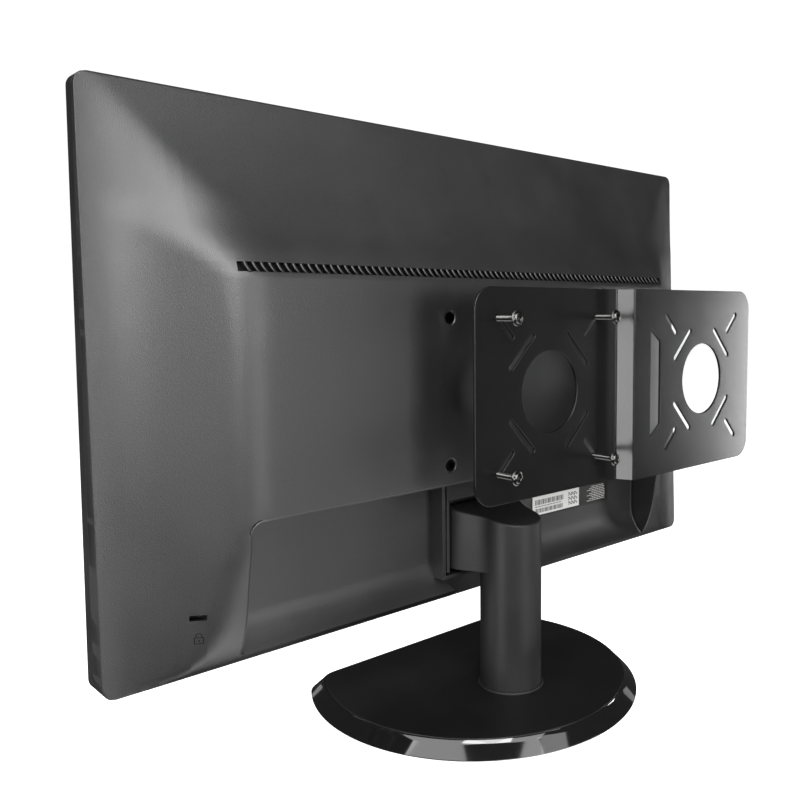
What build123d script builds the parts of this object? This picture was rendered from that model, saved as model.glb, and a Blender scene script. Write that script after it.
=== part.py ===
"""Flat-panel monitor on a column stand, with a mini-computer bracket pulled off its back.

Millimetres, +Z up.  The screen faces -Y, the back faces +Y.  The origin is on the table,
under the centre of the stand's foot.
"""

import math
import os

from build123d import *

# Screen head, outside.
HEAD_W = 544.0
HEAD_H = 336.0
HEAD_Z0 = 70.0
HEAD_Z1 = HEAD_Z0 + HEAD_H
CORNER_R = 7.0
Y_FRONT = -48.0
Y_SPLIT = -39.0
Y_BACK = 8.0
RIM_TOP_Y = -36.0
RIM_BOT_Y = -25.5
LOW_LINE = [(-12.6, 78.4), (-7.0, 88.0), (-1.8, 104.0), (2.6, 130.0)]
WALL = 2.5
SPARE = 10.0
RAMP_OVER = 4.0

# Raised middle of the rear cover.
PLATEAU_X = 195.0
VENT_X = 202.0
VENT_Z0 = 302.0
VENT_Z1 = 307.5
VENT_PITCH = 5.15
LOUVRE_Y0 = 0.5
LOUVRE_Y1 = 3.5

# Recess under the raised middle, and the pocket the neck enters.
RECESS_X = 198.5
RECESS_TOP = 161.0
RECESS_Y = -24.0
RECESS_CORNER = 7.0
LIP_Z = 100.0
LIP_LINE = [(-20.3, 89.2), (-12.6, 78.8)]
SCOOP_TOP = 34.5
SCOOP_LOW = 24.0
BOSS_X = 41.5
BOSS_Y = -11.5
BOSS_Z0 = 89.0
BOSS_WALL = 3.0
FRAME_X = 36.5
FRAME_OPEN_X = 34.0
FRAME_OPEN_Z1 = 145.0

# Display stack.
WIN_W = 509.4
WIN_H = 286.6
WIN_Z0 = 102.5
BEZEL_T = 2.0
GLASS_T = 1.8
GUIDE_T = 4.2
PAN_T = 1.0
PANEL_X = 261.0
PANEL_Z0 = 96.0
PANEL_Z1 = 396.0

# Wall-mount hole square and its screws.
VESA = 50.0
VESA_Z = 225.0
SCREW_R = 2.0
SCREW_LEN = 25.0
SCREW_OUT = 16.0
HOLE_R = 2.05
BUSH_R = 3.5
BUSH_Y0 = -18.0

# Mini-computer bracket, a stepped sheet-metal plate.
BR_Y = 51.3
BR_T = 2.0
BR_HALF_H = 70.0
BR_X_RIGHT = 70.6
BR_X_BEND0 = -72.5
BR_X_BEND1 = -77.9
BR_X_LEFT = -240.4
BR_STEP = 12.75
BR_CORNER = 15.0
BR_HOLE_R = 28.0
BR_FAR_X = -168.3
SLOT_IN = 37.5
TAN_R = 39.4
TAN_HALF = 14.4

# Tilt hinge.
AXIS_Y = -23.0
AXIS_Z = 116.0
BARREL_R = 8.0
PIN_R = 4.0

# Neck.
COL_Y = 15.5
COL_R = 22.0
NECK_WALL = 2.2
BLOCK_X = 31.7
BLOCK_Y0 = -18.0
BLOCK_Z0 = 95.0
BLOCK_TOP = 138.5
TOP_SLOPE = 8.8

# Foot.
FOOT_R = 121.5
FOOT_Y = -23.5
FOOT_FRONT = -98.0
FOOT_TOP = 11.5
FOOT_BEVEL = 9.0

FOOT_TRIM_Z0 = 1.5
FOOT_CORNER = 22.0
PLATE_INSET = 15.0
PLATE_Z0 = 2.0
PLATE_Z1 = 9.0
SCREW_HOLE_R = 3.3
PAD_R = 8.0
PAD_TOP = 2.8
PADS = [(-76.0, -70.0), (76.0, -70.0), (-76.0, 30.0), (76.0, 30.0), (0.0, 72.0), (0.0, -70.0)]
RING_Z = 3.6
RING_R = 12.0
RING_WIRE = 1.0

# Boards, X and Z ranges, and the sockets that open down into the recess.
BOARDS = {
    "power_board": (62.0, 168.0, 188.0, 290.0),
    "main_board": (-168.0, -62.0, 178.0, 288.0),
}
BOARD_Y = -20.0
BOARD_T = 1.6
POST_INSET = 5.0
SHIELD_X = 178.0
SHIELD_Z0 = 165.0
SHIELD_Z1 = 296.0
SHIELD_Y1 = 1.0
INLET_X0 = 104.0
INLET_X1 = 134.4
INLET_Y0 = -21.6
INLET_Y1 = 0.0
SOCKET_Z0 = 161.5
VGA_X0 = -148.0
VGA_X1 = -117.0
DVI_X0 = -105.0
DVI_X1 = -68.0
PORT_D = 12.5

# Lock slot in the side wing.
LOCK_X0 = 221.0
LOCK_X1 = 229.0
LOCK_Z0 = 108.0
LOCK_Z1 = 111.0

# Keys on the lower front edge.
KEY_Z = 84.0
KEY_XS = {"power_key": 240.0, "menu_key": 216.0, "up_key": 196.0, "down_key": 176.0, "input_key": 156.0}
KEY_HALF_W = 7.0
KEY_HALF_H = 2.5
KEY_GAP = 0.1
KEY_PROUD = 0.6
LED_X = 255.0
LED_R = 1.2

OUT = "parts"


def block(x0, x1, y0, y1, z0, z1):
    """Box between two corners."""
    box = Box(x1 - x0, y1 - y0, z1 - z0, align=(Align.MIN, Align.MIN, Align.MIN))
    return Pos(x0, y0, z0) * box


def rod_x(radius, x0, x1, y, z):
    """Cylinder along X."""
    rod = Cylinder(radius, x1 - x0, align=(Align.CENTER, Align.CENTER, Align.MIN))
    return Pos(x0, y, z) * (Rot(0, 90, 0) * rod)


def rod_y(radius, y0, y1, x, z):
    """Cylinder along Y."""
    rod = Cylinder(radius, y1 - y0, align=(Align.CENTER, Align.CENTER, Align.MIN))
    return Pos(x, y0, z) * (Rot(-90, 0, 0) * rod)


def rod_z(radius, z0, z1, x, y):
    """Cylinder along Z."""
    return Pos(x, y, z0) * Cylinder(radius, z1 - z0, align=(Align.CENTER, Align.CENTER, Align.MIN))


def group(solids):
    """Several separate solids as one node."""
    return Compound(children=[s.solid() if not isinstance(s, Solid) else s for s in solids])


def outline_block(inset, y0, y1):
    """The head's rounded rectangle, pulled in by inset, from y0 to y1."""
    half = HEAD_W / 2 - inset
    box = block(-half, half, y0, y1, HEAD_Z0 + inset, HEAD_Z1 - inset)
    edges = box.edges().filter_by(Axis.Y)
    return fillet(edges, max(CORNER_R - inset, 1.0))


def side_profile(inset):
    """Side view of the head's back, as a solid across the full width."""
    y0 = Y_SPLIT - 2.0
    back = Y_BACK - inset
    low = Vector(0, y0, HEAD_Z0 - SPARE)
    high = Vector(0, y0, HEAD_Z1 + SPARE)
    low_rim = Vector(0, RIM_BOT_Y - inset, HEAD_Z0 - SPARE)
    high_rim = Vector(0, RIM_TOP_Y - inset, HEAD_Z1 + SPARE)
    lower = [Vector(0, RIM_BOT_Y - inset, HEAD_Z0 + inset)]
    for y, z in LOW_LINE:
        lower.append(Vector(0, y - inset, z + inset * (LOW_LINE[-1][1] - z) / HEAD_Z0))
    lower.append(Vector(0, back, RECESS_TOP + 6))
    upper = [
        Vector(0, 4.0 - inset, VENT_Z1),
        Vector(0, -8.0 - inset, 328),
        Vector(0, -21.5 - inset, 357),
        Vector(0, -31.0 - inset, 385 - inset * 0.5),
        Vector(0, RIM_TOP_Y - inset, HEAD_Z1 - inset),
    ]
    step = Vector(0, back, VENT_Z0 - 2)
    lip = Vector(0, back - 1.5, VENT_Z0)
    edges = [
        Edge.make_line(low, low_rim),
        Edge.make_line(low_rim, lower[0]),
        Edge.make_spline(lower, tangents=[Vector(0, 1.2, 0.5), Vector(0, 0, 1)]),
        Edge.make_line(lower[-1], step),
        Edge.make_line(step, lip),
        Edge.make_line(lip, upper[0]),
        Edge.make_spline(upper),
        Edge.make_line(upper[-1], high_rim),
        Edge.make_line(high_rim, high),
        Edge.make_line(high, low),
    ]
    face = Face(Wire(edges))
    return Pos(-HEAD_W / 2 - 5, 0, 0) * extrude(face, HEAD_W + 10, dir=Vector(1, 0, 0))


def plan_section(z, rim_y, inset):
    """Plan view of the head's back at one height."""
    y0 = Y_SPLIT - 2.0
    rim = rim_y - inset
    rise = Y_BACK - rim_y + RAMP_OVER
    half = HEAD_W / 2 + SPARE
    steps = [(272, 0.0), (252, 0.12), (232, 0.34), (214, 0.64), (PLATEAU_X, 0.95), (184, 1.0)]
    right = [Vector(half, rim, z)]
    right += [Vector(x - inset * 0.6, rim + rise * t, z) for x, t in steps]
    left = [Vector(-p.X, p.Y, z) for p in reversed(right)]
    edges = [
        Edge.make_line(Vector(-half, y0, z), Vector(half, y0, z)),
        Edge.make_line(Vector(half, y0, z), right[0]),
        Edge.make_line(right[0], right[1]),
        Edge.make_spline(right[1:], tangents=[Vector(-1, 0.1, 0), Vector(-1, 0, 0)]),
        Edge.make_line(right[-1], left[0]),
        Edge.make_spline(left[:-1], tangents=[Vector(-1, 0, 0), Vector(-1, -0.1, 0)]),
        Edge.make_line(left[-2], left[-1]),
        Edge.make_line(left[-1], Vector(-half, y0, z)),
    ]
    return Face(Wire(edges))


def head_form(inset):
    """The head's back without its recess."""
    low = plan_section(HEAD_Z0 - 1, RIM_BOT_Y, inset)
    high = plan_section(HEAD_Z1 + 1, RIM_TOP_Y, inset)
    ramp = loft([low, high], ruled=True)
    form = side_profile(inset) & ramp
    return form & outline_block(inset, Y_SPLIT - 3, Y_BACK + 5)


def recess_form(grow):
    """Room under the raised middle; its floor curves back up to the bottom edge."""
    half = RECESS_X + grow
    y0 = RECESS_Y - grow
    y1 = Y_BACK + 10
    top = RECESS_TOP + grow
    lean = grow * 0.7
    curve = [Vector(-half, y0, LIP_Z)]
    curve += [Vector(-half, y - lean, z - lean) for y, z in LIP_LINE]
    beyond = curve[-1] + Vector(0, 20, -20)
    edges = [
        Edge.make_line(Vector(-half, y1, top), Vector(-half, y0, top)),
        Edge.make_line(Vector(-half, y0, top), curve[0]),
        Edge.make_spline(curve, tangents=[Vector(0, 0, -1), Vector(0, 0.8, -0.7)]),
        Edge.make_line(curve[-1], beyond),
        Edge.make_line(beyond, Vector(-half, y1, beyond.Z)),
        Edge.make_line(Vector(-half, y1, beyond.Z), Vector(-half, y1, top)),
    ]
    form = extrude(Face(Wire(edges)), 2 * half, dir=Vector(1, 0, 0))
    corners = form.edges().filter_by(Axis.Y).sort_by(Axis.Z)[-2:]
    return fillet(corners, RECESS_CORNER + grow)


def front_bezel():
    """Front frame around the screen."""
    body = outline_block(0, Y_FRONT, Y_SPLIT)
    body = chamfer(body.faces().sort_by(Axis.Y)[0].edges(), 0.8)
    body -= outline_block(WALL, Y_FRONT + BEZEL_T, Y_SPLIT + 1)
    half = WIN_W / 2
    body -= block(-half, half, Y_FRONT - 1, Y_SPLIT, WIN_Z0, WIN_Z0 + WIN_H)
    for x in KEY_XS.values():
        half_w = KEY_HALF_W + KEY_GAP
        half_h = KEY_HALF_H + KEY_GAP
        body -= block(x - half_w, x + half_w, Y_FRONT - 1, Y_FRONT + 3, KEY_Z - half_h, KEY_Z + half_h)
    body -= rod_y(LED_R, Y_FRONT - 1, Y_FRONT + 3, LED_X, KEY_Z)
    return body


def lcd_panel():
    """Glass of the display."""
    y0 = Y_FRONT + BEZEL_T
    return block(-PANEL_X, PANEL_X, y0, y0 + GLASS_T, PANEL_Z0, PANEL_Z1)


def light_guide():
    """Light guide and films behind the glass."""
    y0 = Y_FRONT + BEZEL_T + GLASS_T
    return block(-PANEL_X, PANEL_X, y0, y0 + GUIDE_T, PANEL_Z0, PANEL_Z1)


def panel_pan():
    """Sheet-metal pan that holds the glass and the light guide."""
    y0 = Y_FRONT + BEZEL_T
    y1 = y0 + GLASS_T + GUIDE_T + PAN_T
    out = PANEL_X + 2
    pan = block(-out, out, y0, y1, PANEL_Z0 - 2, PANEL_Z1 + 2)
    pan -= block(-out + 1, out - 1, y0 - 1, y1 - PAN_T, PANEL_Z0 - 1, PANEL_Z1 + 1)
    return pan


def led_bar():
    """Light bar along the lower edge of the light guide."""
    y0 = Y_FRONT + BEZEL_T + GLASS_T
    return block(-PANEL_X, PANEL_X, y0 + 0.6, y0 + GUIDE_T, PANEL_Z0 - 1, PANEL_Z0)


def port_cuts():
    """Openings in the recess's roof for the sockets."""
    z0 = RECESS_TOP - 11
    z1 = RECESS_TOP + 9
    y0 = BOARD_Y + BOARD_T - 1
    y1 = y0 + PORT_D + 2
    cuts = [block(INLET_X0, INLET_X1, INLET_Y0, INLET_Y1, z0, z1)]
    for x0, x1 in ((VGA_X0, VGA_X1), (DVI_X0, DVI_X1)):
        cuts.append(block(x0 - 1, x1 + 1, y0, y1, z0, z1))
    return cuts


def mount_points():
    """Centres of the four wall-mount holes."""
    return [(x, z) for x in (-VESA, VESA) for z in (VESA_Z - VESA, VESA_Z + VESA)]


def scoop_form(grow, floor_y):
    """Tapering room for the neck, from the boss down through the bottom edge."""
    top = SCOOP_TOP + grow
    low = SCOOP_LOW + grow
    outline = [
        Vector(-top, floor_y, BOSS_Z0),
        Vector(top, floor_y, BOSS_Z0),
        Vector(low, floor_y, HEAD_Z0 - 1),
        Vector(-low, floor_y, HEAD_Z0 - 1),
    ]
    return extrude(Face(Wire.make_polygon(outline)), Y_BACK - floor_y, dir=Vector(0, 1, 0))


def rear_cover():
    """Rear moulding with its raised middle, recess, vent slot and neck boss."""
    shell = head_form(0) - recess_form(0)
    shell -= head_form(WALL) - recess_form(WALL)
    shell &= block(-300, 300, Y_SPLIT, 20, 0, 500)
    boss = block(-BOSS_X, BOSS_X, -35.0, BOSS_Y, BOSS_Z0, RECESS_TOP + 1)
    inner = BOSS_X - BOSS_WALL
    hole = block(-inner, inner, -40, BOSS_Y + 5, BOSS_Z0 + 2.5, RECESS_TOP)
    below = (scoop_form(2.5, RECESS_Y - 3.0) & head_form(0)) - recess_form(0)
    shell = (shell + below + boss) - hole
    shell -= block(-VENT_X, VENT_X, -6, Y_BACK + 4, VENT_Z0, VENT_Z1)
    for x, z in mount_points():
        shell -= rod_y(BUSH_R, -5, Y_BACK + 1, x, z)
    for cut in port_cuts():
        shell -= cut
    shell -= block(LOCK_X0, LOCK_X1, -20, 10, LOCK_Z0, LOCK_Z1)
    return shell - scoop_form(0, RECESS_Y - 1.5)


def vent_louvres():
    """Comb of slanted fins behind the vent slot."""
    bar = block(-VENT_X, VENT_X, LOUVRE_Y0, LOUVRE_Y1, VENT_Z0, VENT_Z1)
    count = int(2 * (VENT_X - 4) / VENT_PITCH)
    start = -VENT_PITCH * (count - 1) / 2
    face = Face(
        Wire.make_polygon(
            [
                Vector(-2.9, LOUVRE_Y0 - 1, VENT_Z0 + 0.8),
                Vector(0.4, LOUVRE_Y0 - 1, VENT_Z0 + 0.8),
                Vector(2.9, LOUVRE_Y0 - 1, VENT_Z1 - 0.8),
                Vector(-0.4, LOUVRE_Y0 - 1, VENT_Z1 - 0.8),
            ]
        )
    )
    slot = extrude(face, LOUVRE_Y1 - LOUVRE_Y0 + 2, dir=Vector(0, 1, 0))
    slots = [Pos(start + i * VENT_PITCH, 0, 0) * slot for i in range(count)]
    return bar - slots


def vesa_inserts():
    """Four threaded bushes for the mounting screws."""
    bushes = []
    for x, z in mount_points():
        bush = rod_y(BUSH_R, BUSH_Y0, Y_BACK, x, z)
        bushes.append(bush - rod_y(HOLE_R, BUSH_Y0 - 1, Y_BACK + 1, x, z))
    return group(bushes)


def chassis_shield():
    """Sheet-metal box over the boards."""
    box = block(-SHIELD_X, SHIELD_X, Y_SPLIT, SHIELD_Y1, SHIELD_Z0, SHIELD_Z1)
    inner = SHIELD_X - PAN_T
    box -= block(-inner, inner, Y_SPLIT - 1, SHIELD_Y1 - PAN_T, SHIELD_Z0 + PAN_T, SHIELD_Z1 - PAN_T)
    for x, z in mount_points():
        box -= rod_y(BUSH_R, -2, 3, x, z)
    for cut in port_cuts():
        box -= cut
    return box


def fixing_points(name):
    """Centres of a board's four fixing holes."""
    x0, x1, z0, z1 = BOARDS[name]
    xs = (x0 + POST_INSET, x1 - POST_INSET)
    zs = (z0 + POST_INSET, z1 - POST_INSET)
    return [(x, z) for x in xs for z in zs]


def board(name):
    """Bare circuit board with its fixing holes."""
    x0, x1, z0, z1 = BOARDS[name]
    plate = block(x0, x1, BOARD_Y, BOARD_Y + BOARD_T, z0, z1)
    for x, z in fixing_points(name):
        plate -= rod_y(1.6, BOARD_Y - 1, BOARD_Y + 3, x, z)
    return plate


def board_posts():
    """Posts that carry both boards off the pan."""
    posts = []
    for name in BOARDS:
        for x, z in fixing_points(name):
            post = rod_y(3.0, Y_SPLIT, BOARD_Y, x, z)
            posts.append(post - rod_y(1.5, BOARD_Y - 8, BOARD_Y + 1, x, z))
    return group(posts)


def board_screws():
    """Small screws that hold both boards to their posts."""
    screws = []
    seat = BOARD_Y + BOARD_T
    for name in BOARDS:
        for x, z in fixing_points(name):
            head = rod_y(2.8, seat, seat + 1.8, x, z)
            screws.append(head + rod_y(1.5, BOARD_Y - 7, seat, x, z))
    return group(screws)


def power_parts():
    """Transformer, capacitors and heat sink on the supply board."""
    y0 = BOARD_Y + BOARD_T
    parts = [
        block(92, 126, y0, y0 + 15, 222, 252),
        block(140, 144, y0, y0 + 16, 206, 250),
        rod_y(8.0, y0, y0 + 16, 80, 210),
        rod_y(5.0, y0, y0 + 14, 76, 232),
        rod_y(5.0, y0, y0 + 14, 76, 246),
        block(98, 118, y0, y0 + 12, 262, 276),
    ]
    return group(parts)


def main_parts():
    """Chips and connectors on the signal board."""
    y0 = BOARD_Y + BOARD_T
    parts = [
        block(-136, -108, y0, y0 + 2.0, 214, 242),
        block(-136, -108, y0 + 2.0, y0 + 9.0, 214, 242),
        block(-96, -84, y0, y0 + 1.6, 210, 230),
        block(-98, -80, y0, y0 + 1.4, 246, 256),
        block(-150, -120, y0, y0 + 5.0, 268, 274),
        rod_y(3.2, y0, y0 + 8.0, -76, 206),
        rod_y(3.2, y0, y0 + 8.0, -76, 218),
    ]
    fused = parts[0] + parts[1]
    return group([fused] + parts[2:])


def panel_ribbon():
    """Flat cable from the signal board to the display."""
    flat = block(-150, -120, Y_SPLIT, BOARD_Y + BOARD_T, 288.0, 288.6)
    return flat


def ac_inlet():
    """Mains socket that opens downwards."""
    body = block(INLET_X0, INLET_X1, INLET_Y0, INLET_Y1, SOCKET_Z0, 186.0)
    body -= block(107.2, 131.2, -19.2, -2.4, 160.0, 183.0)
    for x, y in ((112.2, -12.4), (126.2, -12.4), (119.2, -6.4)):
        body += block(x - 1.1, x + 1.1, y - 2.0, y + 2.0, 167.0, 184.0)
    return body


def plug_face(x0, x1, pins_x, rows, half_w):
    """Flat-ended socket block with pin holes and an outer shell."""
    y0 = BOARD_Y + BOARD_T
    mid = (x0 + x1) / 2
    yc = y0 + PORT_D / 2
    body = block(x0, x1, y0, y0 + PORT_D, SOCKET_Z0, 178.0)
    shell = block(mid - half_w, mid + half_w, yc - 4.1, yc + 4.1, SOCKET_Z0 - 5, SOCKET_Z0)
    body += fillet(shell.edges().filter_by(Axis.Z), 1.8)
    step = 2.3
    for row in range(rows):
        for i in range(pins_x):
            x = mid + (i - (pins_x - 1) / 2) * step
            body -= rod_z(0.55, 155.0, 160.0, x, yc + (row - (rows - 1) / 2) * 2.2)
    return body


def vga_port():
    """Analogue video socket."""
    return plug_face(VGA_X0, VGA_X1, 5, 3, 8.2)


def dvi_port():
    """Digital video socket."""
    return plug_face(DVI_X0, DVI_X1, 8, 3, 12.0)


def jack_screws():
    """Hex standoffs beside the video sockets."""
    y = BOARD_Y + BOARD_T + PORT_D / 2
    posts = []
    for x in (VGA_X0 + 3.1, VGA_X1 - 3.1, DVI_X0 + 3.1, DVI_X1 - 3.1):
        hexagon = Face(Wire.make_polygon([Vector(p[0], p[1], 157.5) for p in hex_points(x, y, 2.4)]))
        post = extrude(hexagon, 4.0, dir=Vector(0, 0, 1))
        posts.append(post - rod_z(1.3, 156.0, 161.0, x, y))
    return group(posts)


def hex_points(x, y, radius):
    """Corners of a hexagon in plan."""
    return [
        (x + radius * math.cos(math.radians(60 * i)), y + radius * math.sin(math.radians(60 * i)))
        for i in range(6)
    ]


def lock_anchor():
    """Steel anchor behind the lock slot."""
    x0 = LOCK_X0 - 6
    x1 = LOCK_X1 + 6
    z0 = LOCK_Z0 - 6
    z1 = LOCK_Z1 + 6
    post = block(x0, x1, Y_SPLIT, 10.0, z0, z1)
    post &= head_form(WALL)
    post -= block(LOCK_X0, LOCK_X1, -30.0, 10.0, LOCK_Z0, LOCK_Z1)
    post -= block(x0 + 1.5, x1 - 1.5, Y_SPLIT + 2, -17.5, z0 - 2, z1 - 1.5)
    return post


def keypad_board():
    """Board with one small switch behind each key."""
    plate = block(138.0, 262.0, -41.0, -39.8, 77.0, 91.0)
    for x in KEY_XS.values():
        plate += block(x - 3, x + 3, -43.4, -41.0, KEY_Z - 3, KEY_Z + 3)
    plate += block(138.0, 142.0, -46.0, -41.0, 77.0, 91.0)
    plate += block(258.0, 262.0, -46.0, -41.0, 77.0, 91.0)
    return plate


def key(x):
    """One key cap with its retaining flange."""
    cap = block(
        x - KEY_HALF_W, x + KEY_HALF_W, Y_FRONT - KEY_PROUD, -44.7, KEY_Z - KEY_HALF_H, KEY_Z + KEY_HALF_H
    )
    cap = fillet(cap.edges().filter_by(Axis.Y), 1.2)
    cap += block(x - 8.5, x + 8.5, -45.7, -44.7, KEY_Z - 4, KEY_Z + 4)
    cap += block(x - 2, x + 2, -44.7, -43.9, KEY_Z - 2, KEY_Z + 2)
    return cap


def power_led():
    """Clear indicator lens in the front frame."""
    return rod_y(LED_R, Y_FRONT - 0.1, -41.0, LED_X, KEY_Z)


def rating_label():
    """Printed plate in the recess."""
    return block(-163.0, -64.0, RECESS_Y, RECESS_Y + 0.15, 113.0, 145.0)


def serial_sticker():
    """Paper sticker on the printed plate, and two small tags above it."""
    y = RECESS_Y + 0.15
    main = block(-124.0, -66.0, y, y + 0.1, 114.5, 132.0)
    tag_a = block(-112.0, -98.0, y, y + 0.1, 139.5, 144.0)
    tag_b = block(-150.0, -130.0, y, y + 0.1, 139.5, 144.0)
    return group([main, tag_a, tag_b])


def hinge_bracket():
    """Steel plate on the pan with two ears for the tilt pin."""
    plate = block(-60, 60, Y_SPLIT, Y_SPLIT + 2.0, 97.0, 163.0)
    for x0 in (-19.0, 16.0):
        ear = block(x0, x0 + 3.0, Y_SPLIT + 2.0, AXIS_Y, AXIS_Z - 9, AXIS_Z + 9)
        plate += ear + rod_x(9.0, x0, x0 + 3.0, AXIS_Y, AXIS_Z)
    return plate - rod_x(PIN_R, -30, 30, AXIS_Y, AXIS_Z)


def hinge_pin():
    """Tilt pin with a nut at each end."""
    pin = rod_x(PIN_R, -23.0, 23.0, AXIS_Y, AXIS_Z)
    for x0 in (-22.0, 19.0):
        pts = [(x0, AXIS_Y + dy, AXIS_Z + dz) for dy, dz in hex_points(0, 0, 7.0)]
        nut = extrude(Face(Wire.make_polygon([Vector(*p) for p in pts])), 3.0, dir=Vector(1, 0, 0))
        pin += nut
    return pin


def hinge_washers():
    """Friction washers between the ears and the barrel."""
    washers = []
    for x0 in (-16.0, 15.4):
        washers.append(rod_x(BARREL_R, x0, x0 + 0.6, AXIS_Y, AXIS_Z) - rod_x(PIN_R, -30, 30, AXIS_Y, AXIS_Z))
    return group(washers)


def pocket_frame():
    """Inner frame around the neck's opening, set in the boss with a groove round it."""
    top = RECESS_TOP - 1.5
    z0 = BOSS_Z0 + 4.0
    frame = block(-FRAME_X, FRAME_X, Y_SPLIT + 2.0, BOSS_Y - 0.5, z0, top)
    frame -= block(-FRAME_OPEN_X, FRAME_OPEN_X, Y_SPLIT, BOSS_Y + 5, z0 - 5, FRAME_OPEN_Z1)
    frame -= block(-FRAME_OPEN_X, FRAME_OPEN_X, Y_SPLIT, BOSS_Y - 3.0, FRAME_OPEN_Z1 - 1, top - 2.0)
    frame -= block(-4.0, 4.0, BOSS_Y - 6, BOSS_Y + 5, 147.5, 150.0)
    frame -= block(-1.5, 2.5, BOSS_Y - 6, BOSS_Y + 5, 149.0, 153.0)
    return frame


def block_plan(grow, y_front, z):
    """Plan of the neck's head at height z."""
    half = BLOCK_X + grow
    radius = COL_R + grow
    corner = Vector(half, y_front, z)
    knee = Vector(half, BLOCK_Y0 + 5, z)
    tangent = Vector(radius, COL_Y, z)
    side = Edge.make_spline(
        [knee, Vector(half - 3.6, 0, z), tangent], tangents=[Vector(0, 1, 0), Vector(0, 1, 0)]
    )
    other = Edge.make_spline(
        [Vector(-radius, COL_Y, z), Vector(3.6 - half, 0, z), Vector(-half, BLOCK_Y0 + 5, z)],
        tangents=[Vector(0, -1, 0), Vector(0, -1, 0)],
    )
    edges = [
        Edge.make_line(corner, knee),
        side,
        Edge.make_three_point_arc(tangent, Vector(0, COL_Y + radius, z), Vector(-radius, COL_Y, z)),
        other,
        Edge.make_line(Vector(-half, BLOCK_Y0 + 5, z), Vector(-half, y_front, z)),
        Edge.make_line(Vector(-half, y_front, z), corner),
    ]
    return Face(Wire(edges))


def slanted_top(drop):
    """Everything above the neck's sloping top face."""
    slab = Box(200, 200, 60, align=(Align.CENTER, Align.CENTER, Align.MIN))
    return Pos(0, BLOCK_Y0 + 8, BLOCK_TOP - drop) * (Rot(-TOP_SLOPE, 0, 0) * slab)


def neck_shell():
    """Round column that widens into the head block at its top."""
    outer = rod_z(COL_R, FOOT_TOP, 150, 0, COL_Y)
    outer += extrude(block_plan(0, BLOCK_Y0, BLOCK_Z0), 60, dir=Vector(0, 0, 1))
    outer -= slanted_top(0)
    inner = rod_z(COL_R - NECK_WALL, FOOT_TOP - 1, 150, 0, COL_Y)
    inner += extrude(block_plan(-NECK_WALL, BLOCK_Y0 - 5, BLOCK_Z0 + NECK_WALL), 60, dir=Vector(0, 0, 1))
    inner -= slanted_top(NECK_WALL)
    return outer - inner


def neck_core():
    """Steel post inside the column with the arm that carries the barrel."""
    post = rod_z(12.0, FOOT_TOP, 124.0, 0, COL_Y)
    arm = block(-12, 12, AXIS_Y, COL_Y, AXIS_Z - 7, AXIS_Z + 7)
    core = (post + arm) - rod_x(BARREL_R, -30, 30, AXIS_Y, AXIS_Z)
    return core - rod_z(3.0, FOOT_TOP - 1, FOOT_TOP + 22, 0, COL_Y)


def hinge_barrel():
    """Barrel that turns on the tilt pin."""
    barrel = rod_x(BARREL_R, -15.35, 15.35, AXIS_Y, AXIS_Z)
    return barrel - rod_x(PIN_R + 0.05, -30, 30, AXIS_Y, AXIS_Z)


def neck_flange():
    """Thin ring where the column meets the foot."""
    ring = rod_z(COL_R + 1.6, FOOT_TOP, FOOT_TOP + 1.4, 0, COL_Y)
    ring = chamfer(ring.edges().sort_by(Axis.Z)[-1:], 0.6)
    return ring - rod_z(COL_R, FOOT_TOP - 1, FOOT_TOP + 5, 0, COL_Y)


def foot_plan(inset, z):
    """Round foot outline with a straight front and rounded front corners."""
    radius = FOOT_R - inset
    front = FOOT_FRONT + inset
    disc = Face(Wire.make_circle(radius, Plane((0, FOOT_Y, z))))
    keep = Face(Wire.make_polygon([Vector(x, y, z) for x, y in corners_xy(200, front, 200)]))
    face = (disc & keep).face()
    corners = face.vertices().sort_by(Axis.Y)[:2]
    return fillet(corners, FOOT_CORNER - inset * 0.6).face()


def corners_xy(half, y0, y1):
    """Corners of a rectangle in plan."""
    return [(-half, y0), (half, y0), (half, y1), (-half, y1)]


def foot_trim():
    """Glossy slanted edge of the foot."""
    ring = loft([foot_plan(0, FOOT_TRIM_Z0), foot_plan(FOOT_BEVEL, FOOT_TOP - 0.5)], ruled=True)
    return ring - extrude(foot_plan(PLATE_INSET, 0), 20, dir=Vector(0, 0, 1))


def foot_cover():
    """Flat top of the foot."""
    top = extrude(foot_plan(FOOT_BEVEL + 0.4, FOOT_TOP - 0.5), 0.5, dir=Vector(0, 0, 1))
    plug = extrude(foot_plan(PLATE_INSET, PLATE_Z1), FOOT_TOP - 0.5 - PLATE_Z1, dir=Vector(0, 0, 1))
    return (top + plug) - rod_z(SCREW_HOLE_R, 0, 20, 0, COL_Y)


def foot_plate():
    """Steel plate that weights the foot."""
    plate = extrude(foot_plan(PLATE_INSET, PLATE_Z0), PLATE_Z1 - PLATE_Z0, dir=Vector(0, 0, 1))
    plate -= rod_z(22.0, 1.0, 7.0, 0, COL_Y)
    plate -= rod_z(SCREW_HOLE_R, 0, 20, 0, COL_Y)
    for x, y in PADS:
        plate -= rod_z(PAD_R, 1.0, PAD_TOP, x, y)
    return plate


def rubber_feet():
    """Round pads under the foot."""
    return group([rod_z(PAD_R, 0.0, PAD_TOP, x, y) for x, y in PADS])


def foot_screw():
    """Thumb screw that clamps the foot to the neck."""
    screw = rod_z(3.0, 7.0, FOOT_TOP + 18, 0, COL_Y)
    screw += rod_z(10.0, 5.2, 7.0, 0, COL_Y)
    screw += block(-4.5, 4.5, COL_Y - 2.2, COL_Y + 2.2, 2.3, 5.2)
    return screw - rod_x(1.05, -10, 10, COL_Y, RING_Z)


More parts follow.
